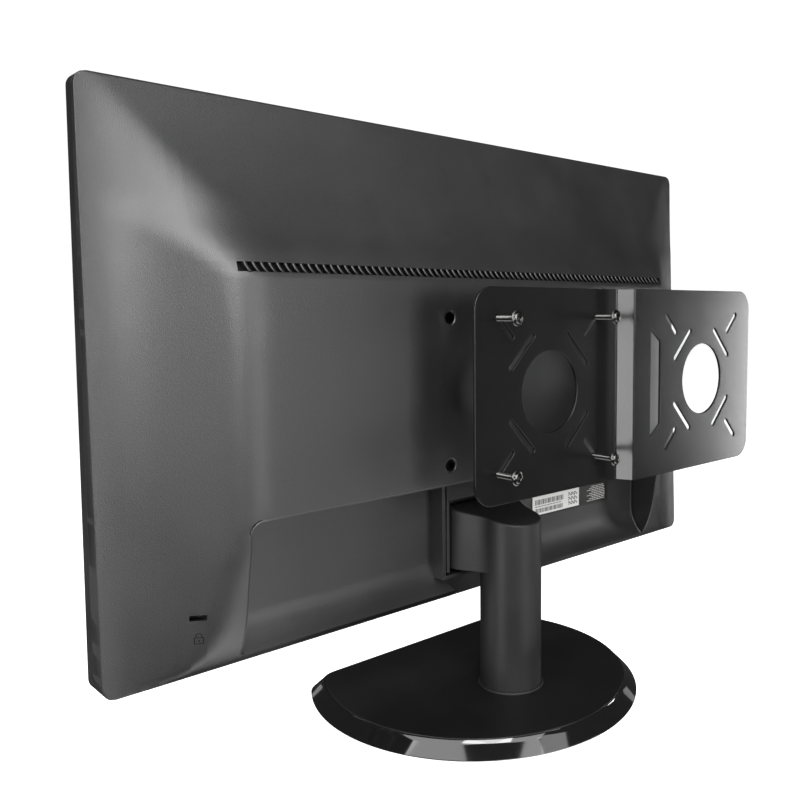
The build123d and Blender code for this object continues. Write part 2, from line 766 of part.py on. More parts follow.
def d_ring():
    """Fold-down ring on the thumb screw."""
    bar = rod_x(RING_WIRE, -RING_R, RING_R, COL_Y, RING_Z)
    start = Vector(RING_R, COL_Y, RING_Z)
    end = Vector(-RING_R, COL_Y, RING_Z)
    arc = Edge.make_three_point_arc(start, Vector(0, COL_Y - RING_R, RING_Z), end)
    wire_face = Face(Wire.make_circle(RING_WIRE, Plane(origin=start, z_dir=(0, -1, 0))))
    bow = Solid.sweep(wire_face, Wire([arc]))
    return bar + bow + Location(start) * ball(RING_WIRE) + Location(end) * ball(RING_WIRE)


def ball(radius):
    """Sphere at the origin."""
    return Solid.make_sphere(radius, angle1=-90, angle2=90, angle3=360)


def slot(x0, z0, x1, z1, half_w):
    """Round-ended slot through the bracket, between two end centres."""
    dx = x1 - x0
    dz = z1 - z0
    length = math.hypot(dx, dz)
    bar = Box(length, 40, 2 * half_w)
    turned = Rot(0, -math.degrees(math.atan2(dz, dx)), 0) * bar
    body = Pos((x0 + x1) / 2, 20 + BR_Y, (z0 + z1) / 2) * turned
    body += rod_y(half_w, BR_Y, BR_Y + 40, x0, z0)
    return body + rod_y(half_w, BR_Y, BR_Y + 40, x1, z1)


def pattern(cx):
    """Centre hole with radial and cross slots on the diagonals."""
    cuts = [rod_y(BR_HOLE_R, BR_Y - 5, BR_Y + 40, cx, VESA_Z)]
    for sx in (-1, 1):
        for sz in (-1, 1):
            ends = (cx + sx * SLOT_IN, VESA_Z + sz * SLOT_IN, cx + sx * VESA, VESA_Z + sz * VESA)
            cuts.append(Pos(0, -5, 0) * slot(*ends, HOLE_R))
            mx = cx + sx * TAN_R / math.sqrt(2)
            mz = VESA_Z + sz * TAN_R / math.sqrt(2)
            d = TAN_HALF / math.sqrt(2)
            cuts.append(Pos(0, -5, 0) * slot(mx - sx * d, mz + sz * d, mx + sx * d, mz - sz * d, HOLE_R))
    return cuts


def bracket_plate():
    """Stepped plate that joins the screen's back to a small computer."""
    y0 = BR_Y
    y1 = BR_Y + BR_T
    side = BR_STEP
    pts = [
        (BR_X_RIGHT, y0),
        (BR_X_RIGHT, y1),
        (BR_X_BEND0 + 0.6, y1),
        (BR_X_BEND1 + 0.6, y1 + side),
        (BR_X_LEFT, y1 + side),
        (BR_X_LEFT, y0 + side),
        (BR_X_BEND1 - 1.2, y0 + side),
        (BR_X_BEND0 - 1.2, y0),
    ]
    zb = VESA_Z - BR_HALF_H
    face = Face(Wire.make_polygon([Vector(x, y, zb) for x, y in pts]))
    plate = extrude(face, 2 * BR_HALF_H, dir=Vector(0, 0, 1))
    ends = [e for e in plate.edges().filter_by(Axis.Y) if abs(abs(e.center().X + 84.9) - 155.5) < 1]
    plate = fillet(ends, BR_CORNER)
    for cut in pattern(0.0) + pattern(BR_FAR_X):
        plate -= cut
    trap = [(-97.6, 41.0), (-110.3, 31.0), (-110.3, -31.0), (-97.6, -41.0)]
    hole = Face(Wire.make_polygon([Vector(x, BR_Y - 5, VESA_Z + z) for x, z in trap]))
    return plate - extrude(hole, 40, dir=Vector(0, 1, 0))


def vesa_screws():
    """Four flanged button-head screws drawn out of the bracket."""
    y_head = BR_Y + BR_T + SCREW_OUT
    screws = []
    for x, z in mount_points():
        screw = rod_y(SCREW_R, y_head - SCREW_LEN, y_head, x, z)
        tip = screw.faces().sort_by(Axis.Y)[0].edges()
        screw = chamfer(tip, 0.5)
        screw += rod_y(5.0, y_head, y_head + 0.9, x, z)
        dome = rod_y(3.9, y_head + 0.9, y_head + 2.6, x, z)
        screw += fillet(dome.faces().sort_by(Axis.Y)[-1].edges(), 0.9)
        pts = [(x + dx, y_head + 1.1, z + dz) for dx, dz in hex_points(0, 0, 1.45)]
        socket = extrude(Face(Wire.make_polygon([Vector(*p) for p in pts])), 3.0, dir=Vector(0, 1, 0))
        screws.append(screw - socket)
    return group(screws)


NODES = {
    "front_bezel": front_bezel,
    "lcd_panel": lcd_panel,
    "light_guide": light_guide,
    "led_bar": led_bar,
    "panel_pan": panel_pan,
    "rear_cover": rear_cover,
    "vent_louvres": vent_louvres,
    "vesa_inserts": vesa_inserts,
    "chassis_shield": chassis_shield,
    "power_board": lambda: board("power_board"),
    "main_board": lambda: board("main_board"),
    "board_posts": board_posts,
    "board_screws": board_screws,
    "power_parts": power_parts,
    "main_parts": main_parts,
    "panel_ribbon": panel_ribbon,
    "ac_inlet": ac_inlet,
    "vga_port": vga_port,
    "dvi_port": dvi_port,
    "jack_screws": jack_screws,
    "lock_anchor": lock_anchor,
    "keypad_board": keypad_board,
    "power_led": power_led,
    "rating_label": rating_label,
    "serial_sticker": serial_sticker,
    "hinge_bracket": hinge_bracket,
    "hinge_pin": hinge_pin,
    "hinge_washers": hinge_washers,
    "pocket_frame": pocket_frame,
    "neck_shell": neck_shell,
    "neck_core": neck_core,
    "hinge_barrel": hinge_barrel,
    "neck_flange": neck_flange,
    "foot_trim": foot_trim,
    "foot_cover": foot_cover,
    "foot_plate": foot_plate,
    "rubber_feet": rubber_feet,
    "foot_screw": foot_screw,
    "d_ring": d_ring,
    "bracket_plate": bracket_plate,
    "vesa_screws": vesa_screws,
}


def main():
    """Write every node as a STEP file."""
    os.makedirs(OUT, exist_ok=True)
    for name, make in NODES.items():
        export_step(make(), f"{OUT}/{name}.step")
        print(name)
    for name, x in KEY_XS.items():
        export_step(key(x), f"{OUT}/{name}.step")
        print(name)


main()
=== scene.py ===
"""Looks of a flat-panel monitor on a column stand, with a mini-computer bracket behind it.

Lengths in this script are millimetres, and meshes are scaled to metres when they are made.
X runs along the screen's width, Y from the screen to the back and Z up. Every piece is placed
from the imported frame's own boxes.
"""

import math

import bmesh
import bpy
import numpy as np
from mathutils import Matrix, Vector


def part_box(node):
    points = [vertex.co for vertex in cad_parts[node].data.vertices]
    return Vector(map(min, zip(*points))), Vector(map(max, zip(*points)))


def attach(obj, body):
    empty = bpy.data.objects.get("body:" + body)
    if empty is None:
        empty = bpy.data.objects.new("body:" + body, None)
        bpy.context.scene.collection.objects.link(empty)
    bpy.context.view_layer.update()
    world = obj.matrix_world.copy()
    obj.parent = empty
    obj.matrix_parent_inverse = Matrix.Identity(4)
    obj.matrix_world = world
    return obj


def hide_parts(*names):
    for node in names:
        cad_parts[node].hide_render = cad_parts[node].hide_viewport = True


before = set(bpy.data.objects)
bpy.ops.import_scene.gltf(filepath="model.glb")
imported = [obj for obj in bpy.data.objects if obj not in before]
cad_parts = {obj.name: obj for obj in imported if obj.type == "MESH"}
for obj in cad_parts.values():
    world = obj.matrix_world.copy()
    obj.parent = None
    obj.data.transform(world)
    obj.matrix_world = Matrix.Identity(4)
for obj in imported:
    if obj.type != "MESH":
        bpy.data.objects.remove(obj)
bpy.context.view_layer.update()
MM = 0.001

# Camera: place, turn in degrees, lens and shift.
CAMERA_AT = (431.5, 433.0, 279.7)
CAMERA_YAW = 223.53
CAMERA_PITCH = -4.17
CAMERA_ROLL = -0.23
LENS = 38.27
SHIFT = (-0.0934, -0.034)

# Studio: name, azimuth, elevation, width and height in degrees, brightness.
SOFTBOXES = [
    ("high_left", 8, 48, 60, 26, 2.7),
    ("side_left", 10, -4, 16, 34, 8.4),
    ("back_left", 57, 28, 30, 50, 8.8),
    ("back_high", 86, 43, 26, 20, 3.0),
    ("back_edge", 120, 45, 24, 9, 2.0),
    ("back_wall", 98, 4, 20, 28, 7.5),
    ("back_low", 118, -55, 50, 50, 2.4),
    ("right_wall", 158.0, -3, 9, 18, 10.5),
    ("front_high", -60, 62, 60, 20, 1.6),
    ("front_side", -32, -8, 26, 36, 2.0),
    ("right_end", -177, 4, 12, 10, 0.6),
    ("left_end", -97, 3, 18, 14, 0.6),
]
LIGHT_AIM = 200.0
ROOM = 0.035
BACKDROP = 1.05
FLOOR_GLOW = 1.05
FLOOR_ROUGH = 0.9
FLOOR_SIZE = 6000.0

# Rear cover: (z, y) of its back along the middle, and how it falls to its rim along X.
SIDE_LINE = [
    (70, -25.5), (73.5, -18.0), (78.4, -12.6), (88, -7.0), (104, -1.8), (130, 2.6), (148, 6.0), (167, 8),
    (300, 8), (302, 6.5), (307.5, 4), (328, -8), (357, -21.5), (385, -31), (406, -36),
]
RAMP_START = 184.0
RAMP_EASE = 0.85
RIM_LOW = -25.5
RIM_HIGH = -36.0
RAMP_OVER = 4.0
# (z, width) of the rounding where the middle's slope meets the side's.
CREASE_LINE = [
    (70, 0.3), (80, 2.0), (95, 6.0), (240, 6.0), (300, 10.0), (320, 18.0), (338, 25.0), (354, 20.0),
    (372, 12.0), (390, 5.0), (406, 0.3),
]
HEAD_CORNER = 7.0
RIM_GROOVE = 0.25
SHELL = 2.0
SKIRT_STEP = 0.5
SKIRT_BEVEL = 0.2

# Recess for the sockets, the boss round the neck, and the scoop under it.
RECESS_X = 198.5
RECESS_TOP = 161.0
RECESS_Y = -24.0
RECESS_CORNER = 7.0
RECESS_GROOVE = 1.0
RECESS_RIDGE = 1.2
LIP_Z = 102.0
LIP_BEND = 0.0222
BOSS_X = 41.5
BOSS_Z = 89.0
BOSS_Y = -11.5
BOSS_WALL = 3.0
BOSS_FLOOR = 2.5
BOSS_GROOVE = 0.7
POCKET_GROOVE = 0.5
POCKET_Y = -34.0
SCOOP_TOP = 34.5
SCOOP_LOW = 24.0
SCOOP_DEEP = 1.5
SCOOP_REACH = 60.0

# Vent slot, lock slot (x, x, z, z) and the countersunk mounting holes as (radius, depth).
VENT_FLOOR = -3.0
LOCK = (221.0, 229.0, 108.0, 111.0)
LOCK_DEEP = 6.0
HOLE_SQUARE = 9.0
HOLE_RINGS = [(6.5, 0.0), (4.9, 0.0), (4.7, 0.1), (4.1, 0.7), (3.9, 0.9), (3.7, 2.5), (3.7, 5.0)]

# Spacing of the cover's grid, and where it has lines of its own.
GRID = 4.0
GRID_FINE = 1.4
GRID_LEAST = 0.05
BEND_IN = 4.0
BEND_OUT = 12.0
BEND_REACH = 2.28
GRID_RIM = [0.0, 0.05, 0.14, 0.25, 0.6, 1.4, 3.2, 7.0]
GRID_X = [SCOOP_REACH, 67.0, 104.0, 106.0, 117.0, 134.4, 148.0]
GRID_Z = [298.0, 300.0]
GRID_LIP = [8.8, 10.6, 12.4, 14.2, 16.0, 17.8, 20.8, 23.0, 25.5, 28.0, 30.0]
GRID_WALL = [-1.9, -1.2, -0.7, -0.35, -0.15, -0.06, 0.06, 0.15, 0.32, 0.6, 1.0, 1.7]
WALL = 0.04


def node_box(name):
    """Lowest and highest corner of a CAD node, in millimetres."""
    lo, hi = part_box(name)
    return lo / MM, hi / MM


HEAD_LO, HEAD_HI = node_box("rear_cover")
VENT_LO, VENT_HI = node_box("vent_louvres")
BUSH_LO, BUSH_HI = node_box("vesa_inserts")
BUSH_R = 3.5
VESA = BUSH_HI.x - BUSH_R
VESA_Z = (BUSH_LO.z + BUSH_HI.z) / 2
MOUNTS = [(x, z) for x in (-VESA, VESA) for z in (VESA_Z - VESA, VESA_Z + VESA)]


# ---- meshes

def add_object(name, data):
    """A new object in the scene."""
    made = bpy.data.objects.new(name, data)
    bpy.context.scene.collection.objects.link(made)
    return made


def mesh_piece(name, points, faces, body, slot, angle=32.0):
    """A mesh object from points in millimetres, riding on a body."""
    mesh = bpy.data.meshes.new(name)
    mesh.from_pydata([tuple(float(c) * MM for c in p) for p in points], [], faces)
    mesh.update()
    piece = add_object(name, mesh)
    soften(mesh, angle)
    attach(piece, body)
    return piece


def soften(mesh, angle=32.0):
    """Smooth shading with sharp edges above an angle in degrees."""
    mesh.polygons.foreach_set("use_smooth", [True] * len(mesh.polygons))
    mesh.set_sharp_from_angle(angle=math.radians(angle))


def flat_faces_first(piece):
    """Lets large faces set the shading normals, so that rounded edges don't tint them."""
    normals = piece.modifiers.new("normals", "WEIGHTED_NORMAL")
    normals.keep_sharp = True
    normals.weight = 90


def tidy_mesh(mesh, merge=0.002):
    """Merges doubled points, drops empty faces and turns all faces outwards."""
    bm = bmesh.new()
    bm.from_mesh(mesh)
    bmesh.ops.remove_doubles(bm, verts=bm.verts, dist=merge * MM)
    bmesh.ops.dissolve_degenerate(bm, dist=merge * MM, edges=bm.edges)
    bmesh.ops.recalc_face_normals(bm, faces=bm.faces)
    bm.to_mesh(mesh)
    bm.free()
    mesh.update()


def edge_round(node, width, segments=2, angle=35.0):
    """Small rounded edges on a CAD node, as modifiers."""
    weld = node.modifiers.new("weld", "WELD")
    weld.merge_threshold = 0.01 * MM
    bevel = node.modifiers.new("edges", "BEVEL")
    bevel.width = width * MM
    bevel.segments = segments
    bevel.limit_method = "ANGLE"
    bevel.angle_limit = math.radians(angle)
    bevel.harden_normals = True
    bevel.use_clamp_overlap = True


def smooth_line(points, at):
    """Height of a smooth, never overshooting line through points, read at each place."""
    x = np.array([p[0] for p in points], float)
    y = np.array([p[1] for p in points], float)
    span = np.diff(x)
    slope = np.diff(y) / span
    turn = np.zeros(len(x))
    turn[0], turn[-1] = slope[0], slope[-1]
    for i in range(1, len(x) - 1):
        if slope[i - 1] * slope[i] > 0:
            a = 2 * span[i] + span[i - 1]
            b = span[i] + 2 * span[i - 1]
            turn[i] = (a + b) / (a / slope[i - 1] + b / slope[i])
    at = np.asarray(at, float)
    i = np.clip(np.searchsorted(x, at) - 1, 0, len(x) - 2)
    t = np.clip((at - x[i]) / span[i], 0, 1)
    h = span[i]
    return (
        y[i] * (1 + 2 * t) * (1 - t) ** 2 + turn[i] * h * t * (1 - t) ** 2
        + y[i + 1] * t * t * (3 - 2 * t) + turn[i + 1] * h * t * t * (t - 1)
    )


def soft_min(a, b, width):
    """Smaller of two heights, rounded where they meet."""
    h = np.maximum(width - np.abs(a - b), 0) / width
    return np.minimum(a, b) - h * h * width / 4


def edge_groove(distance, radius):
    """Depth of a fine groove beside an edge, which grows from nothing at the edge and ends at the radius."""
    d = np.clip(distance, 0, radius)
    return (radius - np.sqrt(radius * radius - d * d)) * (distance < radius)


def box_distance(x, z, half, top, corner):
    """Signed distance to a wide rounded box that is open downwards."""
    dx = np.abs(x) - (half - corner)
    dz = z - (top - corner)
    outside = np.hypot(np.maximum(dx, 0), np.maximum(dz, 0))
    return outside + np.minimum(np.maximum(dx, dz), 0) - corner


def cover_height(x, z):
    """Back of the rear cover, before holes, at each place."""
    x = np.asarray(x, float)
    z = np.asarray(z, float)
    side = smooth_line(SIDE_LINE, z)
    out = np.clip((np.abs(x) - RAMP_START) / (HEAD_HI.x - RAMP_START), 0, 1)
    share = (1 + np.cos(np.pi * out ** RAMP_EASE)) / 2
    rim = RIM_LOW + (RIM_HIGH - RIM_LOW) * (z - HEAD_LO.z) / (HEAD_HI.z - HEAD_LO.z)
    ramp = rim + (BUSH_HI.y - rim + RAMP_OVER) * share
    return soft_min(side, ramp, smooth_line(CREASE_LINE, z))


def step_down(outer, inner, distance, groove, ridge):
    """Outer height outside an outline, inner height inside it, and a groove and a ridge along the wall."""
    high = outer - edge_groove(distance, groove)
    low = inner + edge_groove(-distance, ridge)
    deep = outer - inner > groove + ridge
    high = np.where(deep, high, outer)
    low = np.where(deep, low, np.minimum(inner, outer))
    return np.where(distance > 0, high, low)


def cover_surface(x, z):
    """Back of the rear cover with its recess, boss, scoop, vent slot and lock slot."""
    y = cover_height(x, z)
    across = np.abs(x)
    recess = box_distance(x, z, RECESS_X, RECESS_TOP, RECESS_CORNER)
    bed = np.minimum(y, RECESS_Y + LIP_BEND * np.maximum(LIP_Z - z, 0) ** 2)
    y = step_down(y, bed, recess, RECESS_GROOVE, RECESS_RIDGE)
    inside = (across < BOSS_X) & (z > BOSS_Z) & (z < RECESS_TOP)
    lip = np.minimum(BOSS_X - across, z - BOSS_Z)
    y = np.where(inside, BOSS_Y - edge_groove(lip, BOSS_GROOVE), y)
    hole = BOSS_X - BOSS_WALL
    pocket = (across < hole) & (z > BOSS_Z + BOSS_FLOOR) & (z < RECESS_TOP)
    inner_lip = across - hole
    y = np.where(inside & ~pocket & (inner_lip > 0), y - edge_groove(inner_lip, POCKET_GROOVE), y)
    y = np.where(pocket, POCKET_Y, y)
    under = (z < BOSS_Z) & (z >= HEAD_LO.z)
    half = SCOOP_LOW + (SCOOP_TOP - SCOOP_LOW) * np.clip((z - HEAD_LO.z) / (BOSS_Z - HEAD_LO.z), 0, 1)
    y = np.where(under & (across < half), np.minimum(y, RECESS_Y - SCOOP_DEEP), y)
    vent = np.maximum(across - VENT_HI.x, np.maximum(VENT_LO.z - z, z - VENT_HI.z))
    y = np.where(vent < 0, VENT_FLOOR, y)
    slot = np.maximum(np.maximum(LOCK[0] - x, x - LOCK[1]), np.maximum(LOCK[2] - z, z - LOCK[3]))
    return np.where(slot < 0, y - LOCK_DEEP, y)


def spread(marks, bend):
    """Grid lines through every mark, at most a step apart, and closer where a corner bends them."""
    lines = [marks[0]]
    for a, b in zip(marks[:-1], marks[1:]):
        middle = abs(a + b) / 2
        step = GRID_FINE if bend[0] < middle < bend[1] else GRID
        count = max(1, math.ceil((b - a) / step))
        lines += [a + (b - a) * (i + 1) / count for i in range(count)]
    return lines


def around(edge):
    """Grid lines beside a steep wall, for its groove and its ridge."""
    return [edge + d for d in GRID_WALL]


def both_sides(*places):
    """A pair of grid lines, close together, at each steep wall."""
    return [place + side for place in places for side in (-WALL, WALL)]


def cover_lines():
    """Grid lines of the rear cover along X and Z."""
    bend_x = (RECESS_X - RECESS_CORNER - BEND_IN, RECESS_X + BEND_OUT)
    bend_z = (RECESS_TOP - RECESS_CORNER - BEND_IN, RECESS_TOP + BEND_OUT)
    hole = BOSS_X - BOSS_WALL
    xs = [0.0, RAMP_START, *bend_x] + around(RECESS_X) + [HEAD_HI.x - d for d in GRID_RIM] + GRID_X
    xs += [BOSS_X - BOSS_GROOVE, BOSS_X - 0.25, hole + POCKET_GROOVE, hole + 0.2]
    xs += both_sides(BOSS_X, hole, SCOOP_TOP, VENT_HI.x)
    xs += [VESA + HOLE_SQUARE * i / 4 for i in range(-4, 5)]
    mirrored = sorted(set([round(v, 4) for v in xs] + [round(-v, 4) for v in xs]))
    xs = sorted(set(mirrored + both_sides(LOCK[0], LOCK[1])))
    zs = [HEAD_LO.z + d for d in GRID_RIM + GRID_LIP] + [HEAD_HI.z - d for d in GRID_RIM]
    zs += around(RECESS_TOP)
    zs += [*bend_z, BOSS_Z + 0.25, BOSS_Z + BOSS_GROOVE] + GRID_Z
    zs += both_sides(BOSS_Z, BOSS_Z + BOSS_FLOOR, VENT_LO.z, VENT_HI.z, LOCK[2], LOCK[3])
    for centre in (VESA_Z - VESA, VESA_Z + VESA):
        zs += [centre + HOLE_SQUARE * i / 4 for i in range(-4, 5)]
    zs = sorted(set(round(v, 4) for v in zs))
    return spread(thin(xs), bend_x), spread(thin(zs), bend_z)


def thin(lines):
    """Drops grid lines that nearly double another."""
    kept = [lines[0]]
    for value in lines[1:]:
        if value - kept[-1] >= GRID_LEAST:
            kept.append(value)
    return kept


def round_corner(x, z, centre_x, centre_z, radius, reach):
    """Bends square grid lines round a corner, fading out at reach radii."""
    sign = np.sign(x)
    u = (np.abs(x) - centre_x) / radius
    v = (z - centre_z) / radius
    inside = (u > 0) & (v > 0)
    m = np.maximum(u, v)
    norm = np.maximum(np.hypot(u, v), 1e-9)
    fade = np.clip((reach - m) / max(reach - 1.2, 1e-9), 0, 1) if reach > 1.3 else 1.0
    factor = np.where(inside & (m < max(reach, 1.0001)), 1 + fade * (m / norm - 1), 1.0)
    u = np.where(inside, u * factor, u)
    v = np.where(inside, v * factor, v)
    return (
        np.where(inside, sign * (centre_x + u * radius), x),
        np.where(inside, centre_z + v * radius, z),
    )


def warp(x, z):
    """Bends the cover's grid round the head's corners, the recess's corners and the scoop."""
    half = HEAD_HI.x - HEAD_CORNER
    x, z = round_corner(x, z, half, HEAD_HI.z - HEAD_CORNER, HEAD_CORNER, 1.0)
    x, zz = round_corner(x, -z, half, -(HEAD_LO.z + HEAD_CORNER), HEAD_CORNER, 1.0)
    z = -zz
    side, top = RECESS_X - RECESS_CORNER, RECESS_TOP - RECESS_CORNER
    x, z = round_corner(x, z, side, top, RECESS_CORNER, BEND_REACH)
    low = np.clip((BOSS_Z - z) / (BOSS_Z - HEAD_LO.z), 0, 1)
    edge = SCOOP_TOP + (SCOOP_LOW - SCOOP_TOP) * low
    a = np.abs(x)
    inner = a * edge / SCOOP_TOP
    outer = edge + (a - SCOOP_TOP) * (SCOOP_REACH - edge) / (SCOOP_REACH - SCOOP_TOP)
    bent = np.where(a <= SCOOP_TOP, inner, np.where(a < SCOOP_REACH, outer, a))
    return np.where(z < BOSS_Z, np.sign(x) * bent, x), z


def edge_distance(x, z):
    """How far each place is from the head's rounded outline."""
    half_x = HEAD_HI.x
    half_z = (HEAD_HI.z - HEAD_LO.z) / 2
    mid = (HEAD_HI.z + HEAD_LO.z) / 2
    dx = np.abs(x) - (half_x - HEAD_CORNER)
    dz = np.abs(z - mid) - (half_z - HEAD_CORNER)
    outside = np.hypot(np.maximum(dx, 0), np.maximum(dz, 0))
    return HEAD_CORNER - outside - np.minimum(np.maximum(dx, dz), 0)


def rear_cover():
    """The moulding as one skin over a bent grid, then given its wall thickness."""
    xs, zs = cover_lines()
    nx, nz = len(xs), len(zs)
    gx, gz = np.meshgrid(np.array(xs), np.array(zs))
    x, z = warp(gx, gz)
    y = cover_surface(x, z) - edge_groove(edge_distance(x, z), RIM_GROOVE)
    points = np.stack([x, y, z], -1).reshape(-1, 3).tolist()
    faces = []
    holes = {}
    hole = BOSS_X - BOSS_WALL
    for j in range(nz - 1):
        for i in range(nx - 1):
            cx = (xs[i] + xs[i + 1]) / 2
            cz = (zs[j] + zs[j + 1]) / 2
            if abs(cx) < hole and BOSS_Z + BOSS_FLOOR < cz < RECESS_TOP - 0.1:
                continue
            if LOCK[0] < cx < LOCK[1] and LOCK[2] < cz < LOCK[3]:
                continue
            mount = [m for m in MOUNTS if max(abs(cx - m[0]), abs(cz - m[1])) < HOLE_SQUARE]
            if mount:
                holes.setdefault(mount[0], []).append((i, j))
                continue
            a = j * nx + i
            faces.append((a, a + nx, a + nx + 1, a + 1))
    for mount, cells in holes.items():
        add_round_hole(points, faces, mount, cells, nx)
    add_skirt(points, faces, nx, nz)
    piece = mesh_piece("rear_cover_moulding", points, faces, "head", "cover_plastic", 45.0)
    tidy_cover(piece.data)
    soften(piece.data, 45.0)
    wall = piece.modifiers.new("wall", "SOLIDIFY")
    wall.thickness = SHELL * MM
    wall.offset = -1.0
    wall.thickness_clamp = 1.0
    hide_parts("rear_cover")
    return piece


def add_round_hole(points, faces, mount, cells, nx):
    """Fills a square of missing cells with rings that end in a countersunk hole."""
    i0 = min(c[0] for c in cells)
    i1 = max(c[0] for c in cells) + 1
    j0 = min(c[1] for c in cells)
    j1 = max(c[1] for c in cells) + 1
    loop = [j0 * nx + i for i in range(i0, i1)]
    loop += [j * nx + i1 for j in range(j0, j1)]
    loop += [j1 * nx + i for i in range(i1, i0, -1)]
    loop += [j * nx + i0 for j in range(j1, j0, -1)]
    last = loop
    for radius, depth in HOLE_RINGS:
        ring = []
        for index in loop:
            p = points[index]
            away = math.atan2(p[2] - mount[1], p[0] - mount[0])
            ring.append(len(points))
            px, pz = mount[0] + radius * math.cos(away), mount[1] + radius * math.sin(away)
            points.append([px, BUSH_HI.y - depth, pz])
        join_rings(faces, last, ring)
        last = ring


def join_rings(faces, outer, inner, closed=True):
    """Quads between two rings of the same length."""
    count = len(outer)
    for i in range(count if closed else count - 1):
        k = (i + 1) % count
        faces.append((outer[i], outer[k], inner[k], inner[i]))


def skin_rings(faces, rings):
    """Quads from each ring to the next, and a face on the first and the last."""
    for a, b in zip(rings[:-1], rings[1:]):
        join_rings(faces, a, b)
    faces.append(tuple(rings[0]))
    faces.append(tuple(reversed(rings[-1])))


def add_skirt(points, faces, nx, nz):
    """Side walls from the rim down to the parting line, with a fine bevel at their foot."""
    loop = list(range(nx - 1)) + [j * nx + nx - 1 for j in range(nz - 1)]
    loop += [(nz - 1) * nx + i for i in range(nx - 1, 0, -1)] + [j * nx for j in range(nz - 1, 0, -1)]
    last = loop
    parting = HEAD_LO.y
    mid = (HEAD_HI.z + HEAD_LO.z) / 2
    steps = [(0.0, None), (0.0, parting + SKIRT_BEVEL), (SKIRT_BEVEL, parting)]
    for inset, y in steps:
        ring = []
        for index in loop:
            p = points[index]
            ring.append(len(points))
            points.append([
                p[0] * (1 - inset / HEAD_HI.x), p[1] - SKIRT_STEP if y is None else y,
                mid + (p[2] - mid) * (1 - inset / (HEAD_HI.z - mid)),
            ])
        join_rings(faces, last, ring)
        last = ring


def tidy_cover(mesh):
    """Cuts the sockets' openings in the recess's roof and turns all faces outwards."""
    bm = bmesh.new()
    bm.from_mesh(mesh)
    bmesh.ops.recalc_face_normals(bm, faces=bm.faces)
    probe = max(bm.faces, key=lambda f: f.calc_center_median().y)
    if probe.normal.y < 0:
        bmesh.ops.reverse_faces(bm, faces=bm.faces)
    for name in ("ac_inlet", "vga_port", "dvi_port"):
        lo, hi = node_box(name)
        open_roof(bm, lo, hi)
    bm.to_mesh(mesh)
    bm.free()
    mesh.update()


ROOF_NEAR = 0.1
ROOF_SIDE = 6.0
ROOF_LEAST = 0.1
ROOF_FLAT = 0.9


def open_roof(bm, lo, hi):
    """Removes the part of the recess's roof inside a socket's outline."""
    roof = [
        f for f in bm.faces
        if abs(f.calc_center_median().z / MM - RECESS_TOP) < ROOF_NEAR
        and lo.x - ROOF_SIDE < f.calc_center_median().x / MM < hi.x + ROOF_SIDE
        and f.calc_area() > ROOF_LEAST * MM * MM
        and abs(f.normal.z) > ROOF_FLAT
    ]
    for place, normal in (
        ((lo.x, 0, 0), (1, 0, 0)), ((hi.x, 0, 0), (1, 0, 0)),
        ((0, lo.y, 0), (0, 1, 0)), ((0, hi.y, 0), (0, 1, 0)),
    ):
        edges = {e for f in roof if f.is_valid for e in f.edges}
        verts = {v for f in roof if f.is_valid for v in f.verts}
        cut = bmesh.ops.bisect_plane(
            bm, geom=list(verts) + list(edges) + [f for f in roof if f.is_valid],
            plane_co=Vector(place) * MM, plane_no=normal, dist=1e-6,
        )
        roof = [g for g in cut["geom"] if isinstance(g, bmesh.types.BMFace)]
    gone = []
    for f in roof:
        c = f.calc_center_median() / MM
        if lo.x < c.x < hi.x and lo.y < c.y < hi.y:
            gone.append(f)
    bmesh.ops.delete(bm, geom=gone, context="FACES")


FIN_PITCH = 5.15
FIN_HALF = 1.05
FIN_FOOT = -2.2
FIN_BACK = 5.9
FIN_FALL = 2.3
FIN_SLANT = 3.0
FIN_BOW = 1.6
FIN_LEAN = 0.22
FIN_ROWS = 6
FIN_GAP = 0.1
# (share of the half thickness, distance below the top) along a fin's rounded edge.
FIN_EDGE = [(1.0, 0.5), (0.6, 0.1)]


def louvres():
    """Slanted, slightly curved fins across the vent slot."""
    points, faces = [], []
    z0, z1 = VENT_LO.z + FIN_GAP, VENT_HI.z - FIN_GAP
    count = int((2 * VENT_HI.x - 3) / FIN_PITCH)
    for n in range(count):
        x0 = (n - (count - 1) / 2) * FIN_PITCH
        columns = []
        for r in range(FIN_ROWS + 1):
            t = r / FIN_ROWS
            z = z0 + (z1 - z0) * t
            back = FIN_BACK - FIN_FALL * t
            middle = x0 + FIN_SLANT * (t - 0.5) - FIN_BOW * (t - 0.5) ** 2
            side = [(FIN_HALF, FIN_FOOT)]
            side += [(FIN_HALF * share, back - drop) for share, drop in FIN_EDGE]
            profile = [(-dx, y) for dx, y in side] + [(0, back)] + side[::-1]
            row = []
            for dx, y in profile:
                row.append(len(points))
                points.append((middle + dx + (y - FIN_FOOT) * FIN_LEAN, y, z))
            columns.append(row)
        skin_rings(faces, columns)
    piece = mesh_piece("vent_fins", points, faces, "head", "louvre_plastic", 50.0)
    tidy_mesh(piece.data)
    soften(piece.data, 50.0)
    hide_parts("vent_louvres")
    return piece


MARK_BASE = 95.0
MARK_WIDE = 4.2
MARK_HIGH = 3.4
MARK_BOW = 1.35
MARK_LEG = 1.0
MARK_LINE = 0.35
MARK_BOLD = 0.1
MARK_KEYHOLE = (1.1, 2.2)
MARK_THICK = 0.06


